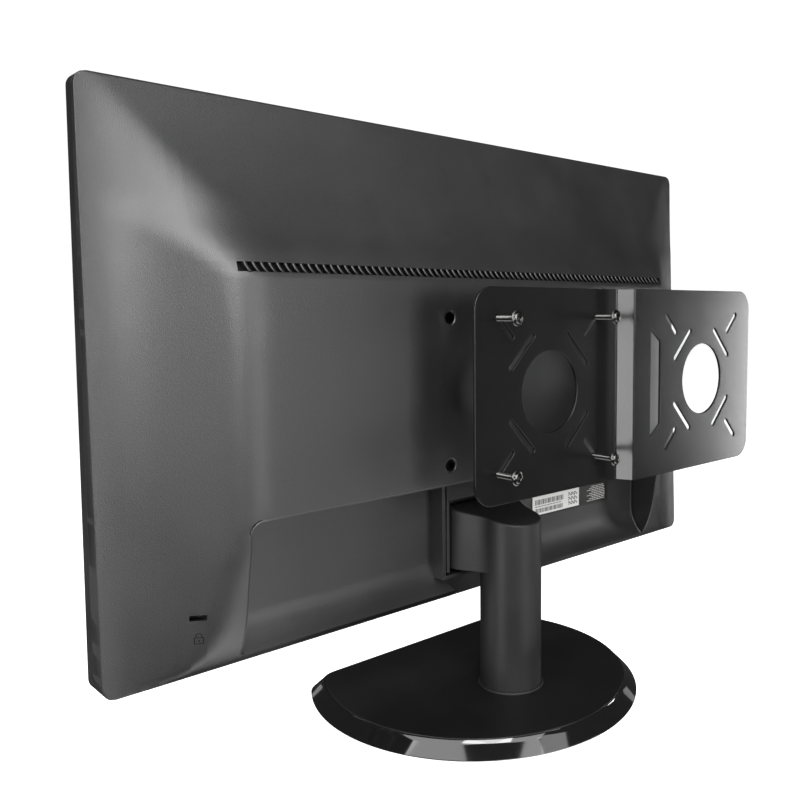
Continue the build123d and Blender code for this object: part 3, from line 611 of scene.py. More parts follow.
def ribbon_strip(points, faces, line, width):
    """A thin flat strip that follows a line of (x, z) on the cover's back."""
    count = len(line)
    rings = []
    for i, (x, z) in enumerate(line):
        ax, az = line[max(i - 1, 0)]
        bx, bz = line[min(i + 1, count - 1)]
        length = math.hypot(bx - ax, bz - az) or 1.0
        nx, nz = -(bz - az) / length, (bx - ax) / length
        ring = []
        for side, up in ((-1, 0), (1, 0), (1, 1), (-1, 1)):
            px, pz = x + nx * side * width / 2, z + nz * side * width / 2
            y = float(cover_height(px, pz)) + up * MARK_THICK
            ring.append(len(points))
            points.append((px, y, pz))
        rings.append(ring)
    skin_rings(faces, rings)


def lock_mark():
    """Small padlock sign, printed below the lock slot."""
    cx = (LOCK[0] + LOCK[1]) / 2
    left, right = cx - MARK_WIDE / 2, cx + MARK_WIDE / 2
    points, faces = [], []
    top = MARK_BASE + MARK_HIGH
    box = [(left, MARK_BASE), (right, MARK_BASE), (right, top), (left, top), (left, MARK_BASE)]
    for a, b in zip(box[:-1], box[1:]):
        ribbon_strip(points, faces, [a, b], MARK_LINE)
    bow = [(cx - MARK_BOW, top)] + [(cx - MARK_BOW, top + MARK_LEG)]
    bow += reversed(arc_points(cx, top + MARK_LEG, MARK_BOW, 0, 180, 12))
    bow += [(cx + MARK_BOW, top)]
    ribbon_strip(points, faces, bow, MARK_LINE)
    keyhole = [(cx, MARK_BASE + height) for height in MARK_KEYHOLE]
    ribbon_strip(points, faces, keyhole, MARK_LINE + MARK_BOLD)
    piece = mesh_piece("lock_mark", points, faces, "head", "louvre_plastic", 40.0)
    tidy_mesh(piece.data)
    return piece


# ---- bracket and screws

BR_LO, BR_HI = node_box("bracket_plate")
BR_T = 2.0
BR_STEP = BR_HI.y - BR_LO.y - BR_T
BR_BEND = -71.9
BR_RUN = 5.4
BR_LEAN = 1.8
BR_SOFT = 0.5
BR_CORNER = 15.0
BR_HOLE = 28.0
BR_FAR = -168.3
SLOT_R = 2.05
SLOT_INNER = 37.5
CROSS_AT = 39.4
CROSS_HALF = 14.4
STRAP = [(-97.6, 41.0), (-110.3, 31.0), (-110.3, -31.0), (-97.6, -41.0)]
PLATE_EDGE = 0.3


def arc_points(cx, cz, radius, start, end, steps):
    """Points on an arc, in degrees."""
    turns = [math.radians(start + (end - start) * i / steps) for i in range(steps + 1)]
    return [(cx + radius * math.cos(a), cz + radius * math.sin(a)) for a in turns]


def slot_outline(x0, z0, x1, z1):
    """Round-ended slot between two end centres."""
    away = math.degrees(math.atan2(z1 - z0, x1 - x0))
    first = arc_points(x1, z1, SLOT_R, away - 90, away + 90, 12)
    return first + arc_points(x0, z0, SLOT_R, away + 90, away + 270, 12)


def hole_pattern(cx):
    """Centre hole and eight slots of one side of the bracket."""
    outlines = [arc_points(cx, VESA_Z, BR_HOLE, 0, 360, 96)[:-1]]
    middle = CROSS_AT / math.sqrt(2)
    reach = CROSS_HALF / math.sqrt(2)
    for sx in (-1, 1):
        for sz in (-1, 1):
            outlines.append(slot_outline(
                cx + sx * SLOT_INNER, VESA_Z + sz * SLOT_INNER, cx + sx * VESA, VESA_Z + sz * VESA
            ))
            mx, mz = cx + sx * middle, VESA_Z + sz * middle
            outlines.append(slot_outline(
                mx - sx * reach, mz + sz * reach, mx + sx * reach, mz - sz * reach
            ))
    return outlines


def bracket():
    """Flat blank with all its cut-outs, folded twice into its step."""
    lo, hi = BR_LO, BR_HI
    r = BR_CORNER
    blank = arc_points(hi.x - r, hi.z - r, r, 0, 90, 16) + arc_points(lo.x + r, hi.z - r, r, 90, 180, 16)
    blank += arc_points(lo.x + r, lo.z + r, r, 180, 270, 16)
    blank += arc_points(hi.x - r, lo.z + r, r, 270, 360, 16)
    strap = [(x, VESA_Z + z) for x, z in STRAP]
    curve = bpy.data.curves.new("bracket_blank", "CURVE")
    curve.dimensions = "2D"
    curve.fill_mode = "BOTH"
    curve.extrude = (BR_T / 2 - PLATE_EDGE) * MM
    curve.bevel_depth = PLATE_EDGE * MM
    curve.bevel_resolution = 2
    curve.offset = -PLATE_EDGE * MM
    for outline in [blank, strap] + hole_pattern(0.0) + hole_pattern(BR_FAR):
        spline = curve.splines.new("POLY")
        spline.points.add(len(outline) - 1)
        for point, (x, z) in zip(spline.points, outline):
            point.co = (x * MM, z * MM, 0, 1)
        spline.use_cyclic_u = True
    flat = add_object("bracket_blank", curve)
    bpy.context.view_layer.update()
    mesh = bpy.data.meshes.new_from_object(flat)
    bpy.data.objects.remove(flat)
    fold(mesh)
    piece = add_object("bracket_sheet", mesh)
    soften(mesh, 50.0)
    flat_faces_first(piece)
    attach(piece, "bracket")
    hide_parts("bracket_plate")
    return piece


def fold(mesh):
    """Stands the blank up behind the screen and bends it along two slanted lines."""
    bm = bmesh.new()
    bm.from_mesh(mesh)
    bmesh.ops.remove_doubles(bm, verts=bm.verts, dist=0.004 * MM)
    middle = BR_LO.y + BR_T / 2
    for v in bm.verts:
        v.co = Vector((v.co.x, middle * MM - v.co.z, v.co.y))
    lean = BR_LEAN / BR_T
    bends = [BR_BEND - BR_LEAN / 2, BR_BEND - BR_LEAN / 2 - BR_RUN]
    for place in bends:
        for share in (-1, -0.5, 0, 0.5, 1):
            geom = list(bm.verts) + list(bm.edges) + list(bm.faces)
            bmesh.ops.bisect_plane(
                bm, geom=geom, plane_co=Vector((place + share * BR_SOFT, middle, 0)) * MM,
                plane_no=(1, -lean, 0), dist=1e-7,
            )
    for v in bm.verts:
        y = v.co.y / MM
        along = v.co.x / MM - (y - middle) * lean
        v.co.y += BR_STEP * MM * fold_share(along, bends)
    bmesh.ops.recalc_face_normals(bm, faces=bm.faces)
    bm.to_mesh(mesh)
    bm.free()
    mesh.update()


def soft_ramp(d):
    """Nothing before a bend and the distance after it, with a small bend radius."""
    if d <= -BR_SOFT:
        return 0.0
    if d >= BR_SOFT:
        return d
    return (d + BR_SOFT) ** 2 / (4 * BR_SOFT)


def fold_share(along, bends):
    """Share of the step's height reached at a place along the sheet."""
    return (soft_ramp(bends[0] - along) - soft_ramp(bends[1] - along)) / (bends[0] - bends[1])


THREAD_PITCH = 0.7
THREAD_ROOT = 1.62
THREAD_CREST = 0.38
THREAD_STEEP = 2.4
THREAD_FLOOR = 0.5
THREAD_LEAD = 0.9
THREAD_TAPER = 0.3
THREAD_END = 1.2
SCREW_SIDES = 24
HEAD_HIGH = 2.6
# (radius, height above the head's seat) of the shank's end, the flange and the foot of the dome.
HEAD_RINGS = [(1.75, -0.9), (1.75, -0.05), (4.7, 0), (5.0, 0.2), (5.0, 0.6), (4.75, 0.85), (4.0, 0.95)]
DOME_FOOT = 1.15
DOME_INNER = 2.4
DOME_ROUND = 1.45
HEX_HALF = 1.3
# (share of the hexagon, depth below the top) down the socket, and the (radius, depth) of its floor.
SOCKET_RINGS = [(1.12, 0.0), (1.0, 0.15), (1.0, 1.5)]
SOCKET_FLOOR = (0.1, 1.8)


def screws():
    """Four machine screws with rolled threads, flanged domed heads and hex sockets."""
    lo, hi = node_box("vesa_screws")
    points, faces = [], []
    for x, z in MOUNTS:
        add_screw(points, faces, x, z, lo.y, hi.y)
    piece = mesh_piece("bracket_screws", points, faces, "screws", "nickel", 40.0)
    tidy_mesh(piece.data, 0.0005)
    soften(piece.data, 40.0)
    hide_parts("vesa_screws")
    return piece


def add_screw(points, faces, cx, cz, y_tip, y_top):
    """One screw from its tip to the floor of its socket."""
    seat = y_top - HEAD_HIGH
    turns = [2 * math.pi * k / SCREW_SIDES for k in range(SCREW_SIDES)]
    rings = []

    def ring(radii, y):
        rings.append(list(range(len(points), len(points) + SCREW_SIDES)))
        points.extend((cx + r * math.cos(a), y, cz + r * math.sin(a)) for r, a in zip(radii, turns))

    def thread(a, y):
        share = (y / THREAD_PITCH - a / (2 * math.pi)) % 1.0
        crest = min(1.0, max(0.0, THREAD_STEEP * (1 - abs(2 * share - 1)) - THREAD_FLOOR))
        run_in = min(1.0, (y - y_tip) / THREAD_LEAD)
        return THREAD_ROOT + THREAD_CREST * crest * run_in - THREAD_TAPER * (1 - run_in)

    step = THREAD_PITCH / 6
    for i in range(int((seat - THREAD_END - y_tip) / step) + 1):
        y = y_tip + i * THREAD_PITCH / 6
        ring([thread(a, y) for a in turns], y)
    for radius, height in HEAD_RINGS:
        ring([radius] * SCREW_SIDES, seat + height)
    for i in range(7):
        t = math.radians(90 * i / 6)
        radius = DOME_INNER + DOME_ROUND * math.cos(t)
        ring([radius] * SCREW_SIDES, seat + DOME_FOOT + DOME_ROUND * math.sin(t))
    hexagon = [HEX_HALF / math.cos((a % (math.pi / 3)) - math.pi / 6) for a in turns]
    for share, depth in SOCKET_RINGS:
        ring([share * r for r in hexagon], y_top - depth)
    ring([SOCKET_FLOOR[0]] * SCREW_SIDES, y_top - SOCKET_FLOOR[1])
    skin_rings(faces, rings)


# ---- foot and neck

FOOT_LO, FOOT_HI = node_box("foot_trim")
TOP_LO, TOP_HI = node_box("foot_cover")
FOOT_CENTRE = -23.5
FOOT_CORNER = 22.0
FOOT_BEVEL = 9.0
FOOT_INNER = 15.0
FOOT_FLAT = 0.8
COL_LO, COL_HI = node_box("neck_flange")
COL_Y = (COL_LO.y + COL_HI.y) / 2
COL_R = 22.0
NECK_LO, NECK_HI = node_box("neck_shell")
BLOCK_Z0 = 95.0
BLOCK_TOP = 138.5
BLOCK_ROUND = 1.5
TOP_SLOPE = 8.8
COLUMN_Z = (12.5, 40.0, 70.0)
KNEE_UP = 5.0
KNEE_SIDE = 2.5
BACK_REACH = 8.0
SLOPE_FROM = 8.0
UNDERCUT = 0.9
UNDERCUT_MID = 0.25
RING_GAP = 0.05
RING_SHOULDER = 0.4
RING_ROUND = 0.7


def foot_outline(inset):
    """Round foot with a straight front and rounded corners, as points in plan."""
    radius = FOOT_HI.x - inset
    front = FOOT_LO.y + inset
    corner = FOOT_CORNER - inset * 0.6
    cy = front + corner
    cx = math.sqrt((radius - corner) ** 2 - (cy - FOOT_CENTRE) ** 2)
    meet = math.degrees(math.atan2(cy - FOOT_CENTRE, cx))
    line = arc_points(0, FOOT_CENTRE, radius, meet, 180 - meet, 220)
    line += arc_points(-cx, cy, corner, 180 - meet, 270, 24)[1:]
    line += [(-cx + 2 * cx * i / 16, front) for i in range(1, 16)]
    line += arc_points(cx, cy, corner, 270, 360 + meet, 24)[:-1]
    return line


def loft(name, sections, body, slot, angle, cap_first=True, cap_last=True):
    """A closed skin through rings of points of the same length."""
    points, faces, rings = [], [], []
    for section in sections:
        rings.append(list(range(len(points), len(points) + len(section))))
        points += section
    for a, b in zip(rings[:-1], rings[1:]):
        join_rings(faces, a, b)
    if cap_first:
        faces.append(tuple(reversed(rings[0])))
    if cap_last:
        faces.append(tuple(rings[-1]))
    piece = mesh_piece(name, points, faces, body, slot, angle)
    tidy_mesh(piece.data)
    soften(piece.data, angle)
    return piece


def level(inset, z):
    """The foot's outline at one inset and height."""
    return [(x, y, z) for x, y in foot_outline(inset)]


def foot():
    """Glossy slanted rim, and the satin top that sits in it with a hairline gap."""
    z0, z1 = FOOT_LO.z, FOOT_HI.z
    rise = z1 - 0.9 - z0
    side = [(FOOT_INNER, z0), (1.0, z0), (0.35, z0 + 0.1), (0.1, z0 + 0.35), (0.0, z0 + FOOT_FLAT)]
    side += [(FOOT_BEVEL * t, z0 + FOOT_FLAT + rise * t) for t in (0.25, 0.5, 0.75, 0.96)]
    side += [(FOOT_BEVEL - 0.15, z1 - 0.06), (FOOT_BEVEL + 0.1, z1), (FOOT_BEVEL + 0.35, z1 - 0.1)]
    side += [(FOOT_BEVEL + 0.4, z1 - 1.2), (FOOT_INNER, z1 - 1.2)]
    trim = loft("foot_rim", [level(*place) for place in side], "stand", "foot_gloss", 40.0, False, False)
    close_ring(trim)
    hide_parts("foot_trim")
    top = TOP_HI.z
    edge = [(0.6, TOP_LO.z), (0.6, top - 0.35), (0.75, top - 0.1), (1.1, top), (3.0, top)]
    cover = [level(FOOT_BEVEL + inset, z) for inset, z in edge]
    deck = loft("foot_top", cover, "stand", "foot_satin", 40.0)
    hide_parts("foot_cover")
    return trim, deck


def close_ring(piece):
    """Joins the last ring of a lofted ring to its first."""
    bm = bmesh.new()
    bm.from_mesh(piece.data)
    bmesh.ops.bridge_loops(bm, edges=[e for e in bm.edges if e.is_boundary])
    bmesh.ops.recalc_face_normals(bm, faces=bm.faces)
    bm.to_mesh(piece.data)
    bm.free()
    soften(piece.data, 40.0)


def neck_plan():
    """The head block's outline from its round back, its outward normals, shares that are 0 on the back
    and the number of points on the back."""
    back = arc_points(0, COL_Y, COL_R, 0, 180, 48)
    knee = NECK_LO.y + KNEE_UP
    side = []
    for i in range(1, 14):
        t = i / 14
        ease = t * t * (3 - 2 * t)
        side.append((-COL_R - (NECK_HI.x - COL_R) * ease, COL_Y + (knee - COL_Y) * t))
    left = side + [(NECK_LO.x, knee), (NECK_LO.x, knee - KNEE_SIDE), (NECK_LO.x, NECK_LO.y)]
    front = [(NECK_LO.x * (1 - 2 * i / 12), NECK_LO.y) for i in range(1, 12)]
    right = [(-x, y) for x, y in reversed(left)]
    line = back + left + front + right
    count = len(line)
    normals = []
    for i in range(count):
        ax, ay = line[i - 1]
        bx, by = line[(i + 1) % count]
        length = math.hypot(bx - ax, by - ay)
        normals.append(((by - ay) / length, -(bx - ax) / length))
    shares = [min(1.0, max(0.0, (COL_Y - point[1]) / BACK_REACH)) for point in line]
    return line, normals, shares, len(back)


def neck():
    """Round column that widens, flush at the back, into the block with its sloping top."""
    line, normals, shares, back = neck_plan()
    count = len(line)
    slope = math.tan(math.radians(TOP_SLOPE))

    def plan(inset, weights=None):
        depths = [inset * share for share in weights] if weights else [inset] * count
        return [(x - nx * d, y - ny * d) for (x, y), (nx, ny), d in zip(line, normals, depths)]

    def flat_plan(z, inset, weights=None):
        return [(x, y, z) for x, y in plan(inset, weights)]

    def top_plan(inset, drop):
        return [(x, y, BLOCK_TOP - slope * (y - NECK_LO.y - SLOPE_FROM) - drop) for x, y in plan(inset)]

    def column(z):
        ring = [(x, y, z) for x, y in line[:back]]
        rest = count - back
        for i in range(1, rest + 1):
            a = math.pi + math.pi * i / (rest + 1)
            ring.append((COL_R * math.cos(a), COL_Y + COL_R * math.sin(a), z))
        return ring

    sections = [column(z) for z in (NECK_LO.z, *COLUMN_Z, BLOCK_Z0)]
    sections.append(flat_plan(BLOCK_Z0, UNDERCUT, shares))
    sections.append(flat_plan(BLOCK_Z0 + UNDERCUT_MID, UNDERCUT_MID, shares))
    sections += [flat_plan(BLOCK_Z0 + UNDERCUT, 0.0), top_plan(0.0, BLOCK_ROUND)]
    for degrees in (25, 50, 70, 90):
        a = math.radians(degrees)
        sections.append(top_plan(BLOCK_ROUND * (1 - math.cos(a)), BLOCK_ROUND * (1 - math.sin(a))))
    piece = loft("neck_body", sections, "stand", "neck_plastic", 40.0)
    flat_faces_first(piece)
    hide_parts("neck_shell")
    return piece


def neck_ring():
    """Thin raised ring with a rounded top where the column meets the foot."""
    outer = COL_HI.x
    inner = COL_R + RING_GAP
    low, high = COL_LO.z, COL_HI.z
    shoulder = low + (high - low) * RING_SHOULDER
    profile = [(outer, low), (outer, shoulder)]
    for degrees in (20, 40, 60, 80, 90):
        a = math.radians(degrees)
        profile.append((outer - RING_ROUND * (1 - math.cos(a)), shoulder + (high - shoulder) * math.sin(a)))
    profile += [(inner, high), (inner, low)]
    sections = []
    for radius, z in profile:
        sections.append([(x, y, z) for x, y in arc_points(0, COL_Y, radius, 0, 360, 96)[:-1]])
    ring = loft("neck_ring", sections, "stand", "neck_plastic", 40.0, False, False)
    close_ring(ring)
    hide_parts("neck_flange")
    return ring


# ---- labels

INK = 0.04
INK_SUNK = 0.01
DASH = 1.4
DASH_MORE = 0.8
DASH_GAP = 0.6
DASH_LEAST = 0.9


def add_mark(points, faces, outline, y):
    """A thin printed mark with an outline of four (x, z) points, on a label at y."""
    start = len(points)
    for depth in (y - INK_SUNK, y + INK):
        points += [(px, depth, pz) for px, pz in outline]
    skin_rings(faces, [list(range(start, start + 4)), list(range(start + 4, start + 8))])


def add_bar(points, faces, x0, x1, z0, z1, y):
    """A thin printed bar."""
    add_mark(points, faces, [(x0, z0), (x1, z0), (x1, z1), (x0, z1)], y)


# Print on the dark plate: (distance down, height, width) of bars, and (distance down, width) of fine rows.
PLATE_BARS = [(3.4, 2.2, 16.0), (6.2, 0.5, 17.0)]
PLATE_ROWS = [(1.9, 26), (3.4, 22), (5.0, 27), (6.6, 20), (8.1, 24)]
PLATE_SIDE = 1.5
ROWS_AT = 20.0
SIGNS_AT = 53.0
SIGNS_DOWN = 6.2
SIGNS_STEP = 10.0
SIGN_R = 3.0
SIGN_LESS = 0.4
SIGN_LINE = 0.45
BLOCK_ROWS = 9
BLOCK_SIDE = 4.0
BLOCK_WIDE = 24.0
BLOCK_FOOT = 3.0
BLOCK_PITCH = 1.5

# Print on the paper stickers: bar codes as (height above the foot, height), a patch of squares and dashes.
STICKER_Z = (114.5, 132.0)
STICKER_SIDE = 3.0
CODES = [(1.6, 3.6), (8.2, 4.2)]
CODE_WIDE = 37.0
CODE_BARS = (0.35, 0.7, 0.35, 1.05, 0.5)
CODE_GAPS = (0.5, 0.4, 0.8, 0.45)
PATCH_AT = (55.5, 2.4)
PATCH_CELL = 0.95
PATCH_CELLS = 12
SMALL_STICKERS = [(-112.0, -98.0), (-150.0, -130.0)]
SMALL_Z = 141.7


def label_print():
    """Plain bars on the dark plate and the paper stickers, standing for print with no lettering."""
    lo, hi = node_box("rating_label")
    paper = node_box("serial_sticker")[1].y
    light, dark = ([], []), ([], [])
    plate_print(light, lo, hi)
    sticker_print(dark, hi.x - 2.0, paper)
    for x0, x1 in SMALL_STICKERS:
        add_dashes(dark, x0 + 1.5, x1 - 1.5, SMALL_Z, 1.4, paper, 3)
    pale = mesh_piece("label_print", *light, "head", "label_white", 40.0)
    ink = mesh_piece("sticker_print", *dark, "head", "label_black", 40.0)
    for piece in (pale, ink):
        tidy_mesh(piece.data, 0.0005)
    return pale, ink


def plate_print(target, lo, hi):
    """Bars, fine rows, three small outlines and a block of rows."""
    left = hi.x - PLATE_SIDE
    for down, height, width in PLATE_BARS:
        z = hi.z - down
        add_bar(*target, left - width, left, z - height / 2, z + height / 2, hi.y)
    for down, width in PLATE_ROWS:
        add_dashes(target, left - ROWS_AT - width, left - ROWS_AT, hi.z - down, 0.55, hi.y, 3)
    for n in range(3):
        x = left - SIGNS_AT - SIGNS_STEP * n
        ring_mark(target, x, hi.z - SIGNS_DOWN, SIGN_R - SIGN_LESS * n, hi.y, 4 + 2 * n)
    for k in range(BLOCK_ROWS):
        x = lo.x + BLOCK_SIDE
        z = lo.z + BLOCK_FOOT + BLOCK_PITCH * k
        add_dashes(target, x, x + BLOCK_WIDE - (k % 3) * 3, z, 0.5, hi.y, 5)


def sticker_print(target, right, paper):
    """Two rows of bars, two rows of dashes and a patch of squares."""
    z0, z1 = STICKER_Z
    for row, (base, high) in enumerate(CODES):
        x = right - STICKER_SIDE
        step = 0
        while x > right - CODE_WIDE:
            width = CODE_BARS[(step * 3 + row) % 5]
            add_bar(*target, x - width, x, z0 + base, z0 + base + high, paper)
            x -= width + CODE_GAPS[(step + row) % 4]
            step += 1
    add_dashes(target, right - 36, right - STICKER_SIDE, z0 + 6.8, 0.6, paper, 4)
    add_dashes(target, right - 30, right - STICKER_SIDE, z1 - 1.8, 0.8, paper, 4)
    for i in range(PATCH_CELLS):
        for j in range(PATCH_CELLS):
            if (i * 7 + j * 5 + i * j * 3) % 4 < 2:
                x, z = right - PATCH_AT[0] + i * PATCH_CELL, z0 + PATCH_AT[1] + j * PATCH_CELL
                add_bar(*target, x, x + PATCH_CELL * 0.98, z, z + PATCH_CELL * 0.98, paper)


def add_dashes(target, x0, x1, z, height, y, beat):
    """A row of short bars of uneven length."""
    x = x1
    step = 0
    while x - DASH_LEAST > x0:
        width = min(DASH + DASH_MORE * ((step * beat + int(z * 2)) % 4), x - x0)
        add_bar(*target, x - width, x, z - height / 2, z + height / 2, y)
        x -= width + DASH_GAP
        step += 1


def ring_mark(target, cx, cz, radius, y, sides):
    """A small plain outline of a many-sided shape."""
    outer = arc_points(cx, cz, radius, 0, 360, sides)[:-1]
    inner = arc_points(cx, cz, radius - SIGN_LINE, 0, 360, sides)[:-1]
    for k in range(sides):
        n = (k + 1) % sides
        add_mark(*target, [outer[k], outer[n], inner[n], inner[k]], y)


# ---- materials

NOISE_LOW = 0.3
NOISE_HIGH = 0.7
PATCH_TONE = 0.93
COAT_ROUGH = 0.05
RELIEF = 0.6


def new_material(name):
    """An empty node material and its shader."""
    material = bpy.data.materials.new(name)
    material.use_nodes = True
    return material, material.node_tree, material.node_tree.nodes["Principled BSDF"]


def set_inputs(node, values):
    """Sets inputs of a shader node by their names or numbers."""
    for key, value in values.items():
        node.inputs[key].default_value = value


def noise(tree, size, detail=3.0, stretch=(1, 1, 1)):
    """Noise whose features are about size millimetres across, in the object's own frame."""
    coords = tree.nodes.new("ShaderNodeTexCoord")
    scaled = tree.nodes.new("ShaderNodeMapping")
    set_inputs(scaled, {"Scale": stretch})
    texture = tree.nodes.new("ShaderNodeTexNoise")
    set_inputs(texture, {"Scale": 1.0 / (size * MM), "Detail": detail})
    tree.links.new(coords.outputs["Object"], scaled.inputs["Vector"])
    tree.links.new(scaled.outputs["Vector"], texture.inputs["Vector"])
    return texture.outputs["Fac"]


def ranged(tree, value, low, high):
    """A noise value spread over a range."""
    node = tree.nodes.new("ShaderNodeMapRange")
    set_inputs(node, {"From Min": NOISE_LOW, "From Max": NOISE_HIGH, "To Min": low, "To Max": high})
    tree.links.new(value, node.inputs["Value"])
    return node.outputs["Result"]


def blend_colours(tree, factor, first, second):
    """A colour between two, by a noise value."""
    node = tree.nodes.new("ShaderNodeMix")
    node.data_type = "RGBA"
    set_inputs(node, {6: (*first, 1), 7: (*second, 1)})
    tree.links.new(factor, node.inputs[0])
    return node.outputs[2]


def surface(name, colour, rough, grain, bump, vary=0.15, metallic=0.0, coat=0.0,
            specular=0.5, stretch=(1, 1, 1), patch=40.0, rough_vary=0.06):
    """Moulded, painted or metal surface: fine grain, slow tone changes and uneven gloss."""
    material, tree, shader = new_material(name)
    fine = noise(tree, grain, 3.0, stretch)
    slow = noise(tree, patch, 4.0)
    darker = tuple(c * (1 - vary) for c in colour)
    lighter = tuple(c * (1 + vary) for c in colour)
    fine_factor = ranged(tree, fine, 0.0, 1.0)
    tone = blend_colours(tree, fine_factor, darker, lighter)
    shade = tree.nodes.new("ShaderNodeMix")
    shade.data_type = "RGBA"
    shade.blend_type = "MULTIPLY"
    set_inputs(shade, {0: 1.0})
    tree.links.new(tone, shade.inputs[6])
    patches = blend_colours(tree, ranged(tree, slow, 0.0, 1.0), (PATCH_TONE,) * 3, (1.0,) * 3)
    tree.links.new(patches, shade.inputs[7])
    tree.links.new(shade.outputs[2], shader.inputs["Base Color"])
    tree.links.new(ranged(tree, slow, rough - rough_vary, rough + rough_vary), shader.inputs["Roughness"])
    set_inputs(shader, {"Metallic": metallic, "Specular IOR Level": specular})
    set_inputs(shader, {"Coat Weight": coat, "Coat Roughness": COAT_ROUGH})
    relief = tree.nodes.new("ShaderNodeBump")
    set_inputs(relief, {"Strength": RELIEF, "Distance": bump * MM})
    tree.links.new(fine, relief.inputs["Height"])
    tree.links.new(relief.outputs["Normal"], shader.inputs["Normal"])
    return material


# Finishes: name, colour, roughness, size of the grain and depth of its relief in millimetres.
MATERIALS = {
    "cover_plastic": surface("charcoal_grain", (0.010,) * 3, 0.40, 0.55, 0.24, vary=0.35,
                             patch=60.0, specular=0.75),
    "louvre_plastic": surface("louvre_black", (0.012,) * 3, 0.36, 0.5, 0.02, specular=0.5),
    "bezel_plastic": surface("bezel_black", (0.010, 0.010, 0.011), 0.32, 0.5, 0.03),
    "frame_plastic": surface("pocket_black", (0.02,) * 3, 0.42, 0.6, 0.03),
    "neck_plastic": surface("neck_charcoal", (0.012,) * 3, 0.45, 0.8, 0.1, vary=0.25,
                            specular=0.35),
    "foot_gloss": surface("foot_gloss", (0.006,) * 3, 0.06, 3.0, 0.002, vary=0.1, coat=1.0,
                          rough_vary=0.02),
    "foot_satin": surface("foot_satin", (0.005,) * 3, 0.45, 0.35, 0.03, vary=0.3,
                          specular=0.35),
    "foot_steel": surface("foot_steel", (0.05, 0.05, 0.053), 0.45, 1.2, 0.05, metallic=0.6),
    "bracket_paint": surface("powder_black", (0.006,) * 3, 0.21, 0.45, 0.006, vary=0.12, patch=30.0,
                             rough_vary=0.01),
    "nickel": surface("nickel", (0.1, 0.1, 0.098), 0.2, 0.5, 0.004, vary=0.05, metallic=1.0),
    "zinc_steel": surface("zinc_steel", (0.62, 0.62, 0.62), 0.32, 0.8, 0.01, vary=0.1, metallic=1.0,
                          stretch=(1, 1, 8)),
    "zinc_sheet": surface("zinc_sheet", (0.55, 0.56, 0.57), 0.35, 6.0, 0.005, vary=0.12,
                          metallic=1.0),
    "port_shell": surface("port_shell", (0.6, 0.6, 0.6), 0.28, 0.5, 0.008, vary=0.08,
                          metallic=1.0),
    "brass": surface("brass", (0.72, 0.5, 0.2), 0.3, 0.6, 0.008, vary=0.1, metallic=1.0),
    "rubber": surface("rubber", (0.02,) * 3, 0.75, 0.5, 0.06, vary=0.2),
    "key_plastic": surface("key_gloss", (0.015, 0.015, 0.017), 0.18, 1.5, 0.004, coat=0.4),
    "socket_plastic": surface("socket_black", (0.02,) * 3, 0.4, 0.6, 0.03),
    "black_parts": surface("chip_black", (0.025,) * 3, 0.45, 0.6, 0.03),
    "green_board": surface("solder_mask", (0.02, 0.14, 0.05), 0.3, 4.0, 0.01, vary=0.25),
    "tan_board": surface("tan_laminate", (0.35, 0.22, 0.09), 0.45, 3.0, 0.02, vary=0.2),
    "ribbon": surface("ribbon_white", (0.6, 0.6, 0.58), 0.4, 1.0, 0.01, stretch=(4, 1, 1)),
    "label_black": surface("label_dark", (0.012,) * 3, 0.35, 0.8, 0.01, vary=0.15),
    "label_white": surface("paper_white", (0.62, 0.62, 0.6), 0.6, 0.5, 0.01, vary=0.08),
    "dark_mark": surface("dark_mark", (0.003,) * 3, 0.6, 0.4, 0.005, vary=0.1, specular=0.1),
    "screen_glass": surface("screen_glass", (0.006, 0.006, 0.007), 0.22, 0.15, 0.006, vary=0.05,
                            specular=0.6, patch=90.0, rough_vary=0.02),
    "light_guide": surface("light_guide", (0.8, 0.8, 0.8), 0.3, 2.0, 0.005, vary=0.04),
    "led_board": surface("led_board", (0.7, 0.7, 0.68), 0.4, 2.0, 0.01, vary=0.1),
    "lens": surface("lens_white", (0.7, 0.72, 0.75), 0.15, 2.0, 0.002, vary=0.05, coat=0.5),
}


def paint(piece, slot):
    """Gives every material slot of a piece one finish."""
    if not piece.material_slots:
        piece.data.materials.append(MATERIALS[slot])
    for holder in piece.material_slots:
        holder.material = MATERIALS[slot]


def paint_frame():
    """Procedural finishes on the CAD nodes, by the names of their packed materials."""
    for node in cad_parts.values():
        slot = node.material_slots[0].material.name.split(".")[0]
        if slot not in MATERIALS:
            raise ValueError(f"no finish for {slot}")
        paint(node, slot)


# ---- stage

def softbox(name, azimuth, elevation, wide, high, radiance, distance=1500.0):
    """A flat soft light seen from the object at an azimuth from +X, with its size in degrees."""
    az, el = math.radians(azimuth), math.radians(elevation)
    away = Vector((math.cos(az) * math.cos(el), math.sin(az) * math.cos(el), math.sin(el)))
    data = bpy.data.lights.new(name, "AREA")
    data.shape = "RECTANGLE"
    data.size = 2 * distance * math.tan(math.radians(wide / 2)) * MM
    data.size_y = 2 * distance * math.tan(math.radians(high / 2)) * MM
    data.energy = radiance * math.pi * data.size * data.size_y
    lamp = add_object(name, data)
    lamp.location = (away * distance + Vector((0, 0, LIGHT_AIM))) * MM
    lamp.rotation_euler = away.to_track_quat("Z", "Y").to_euler()
    return lamp


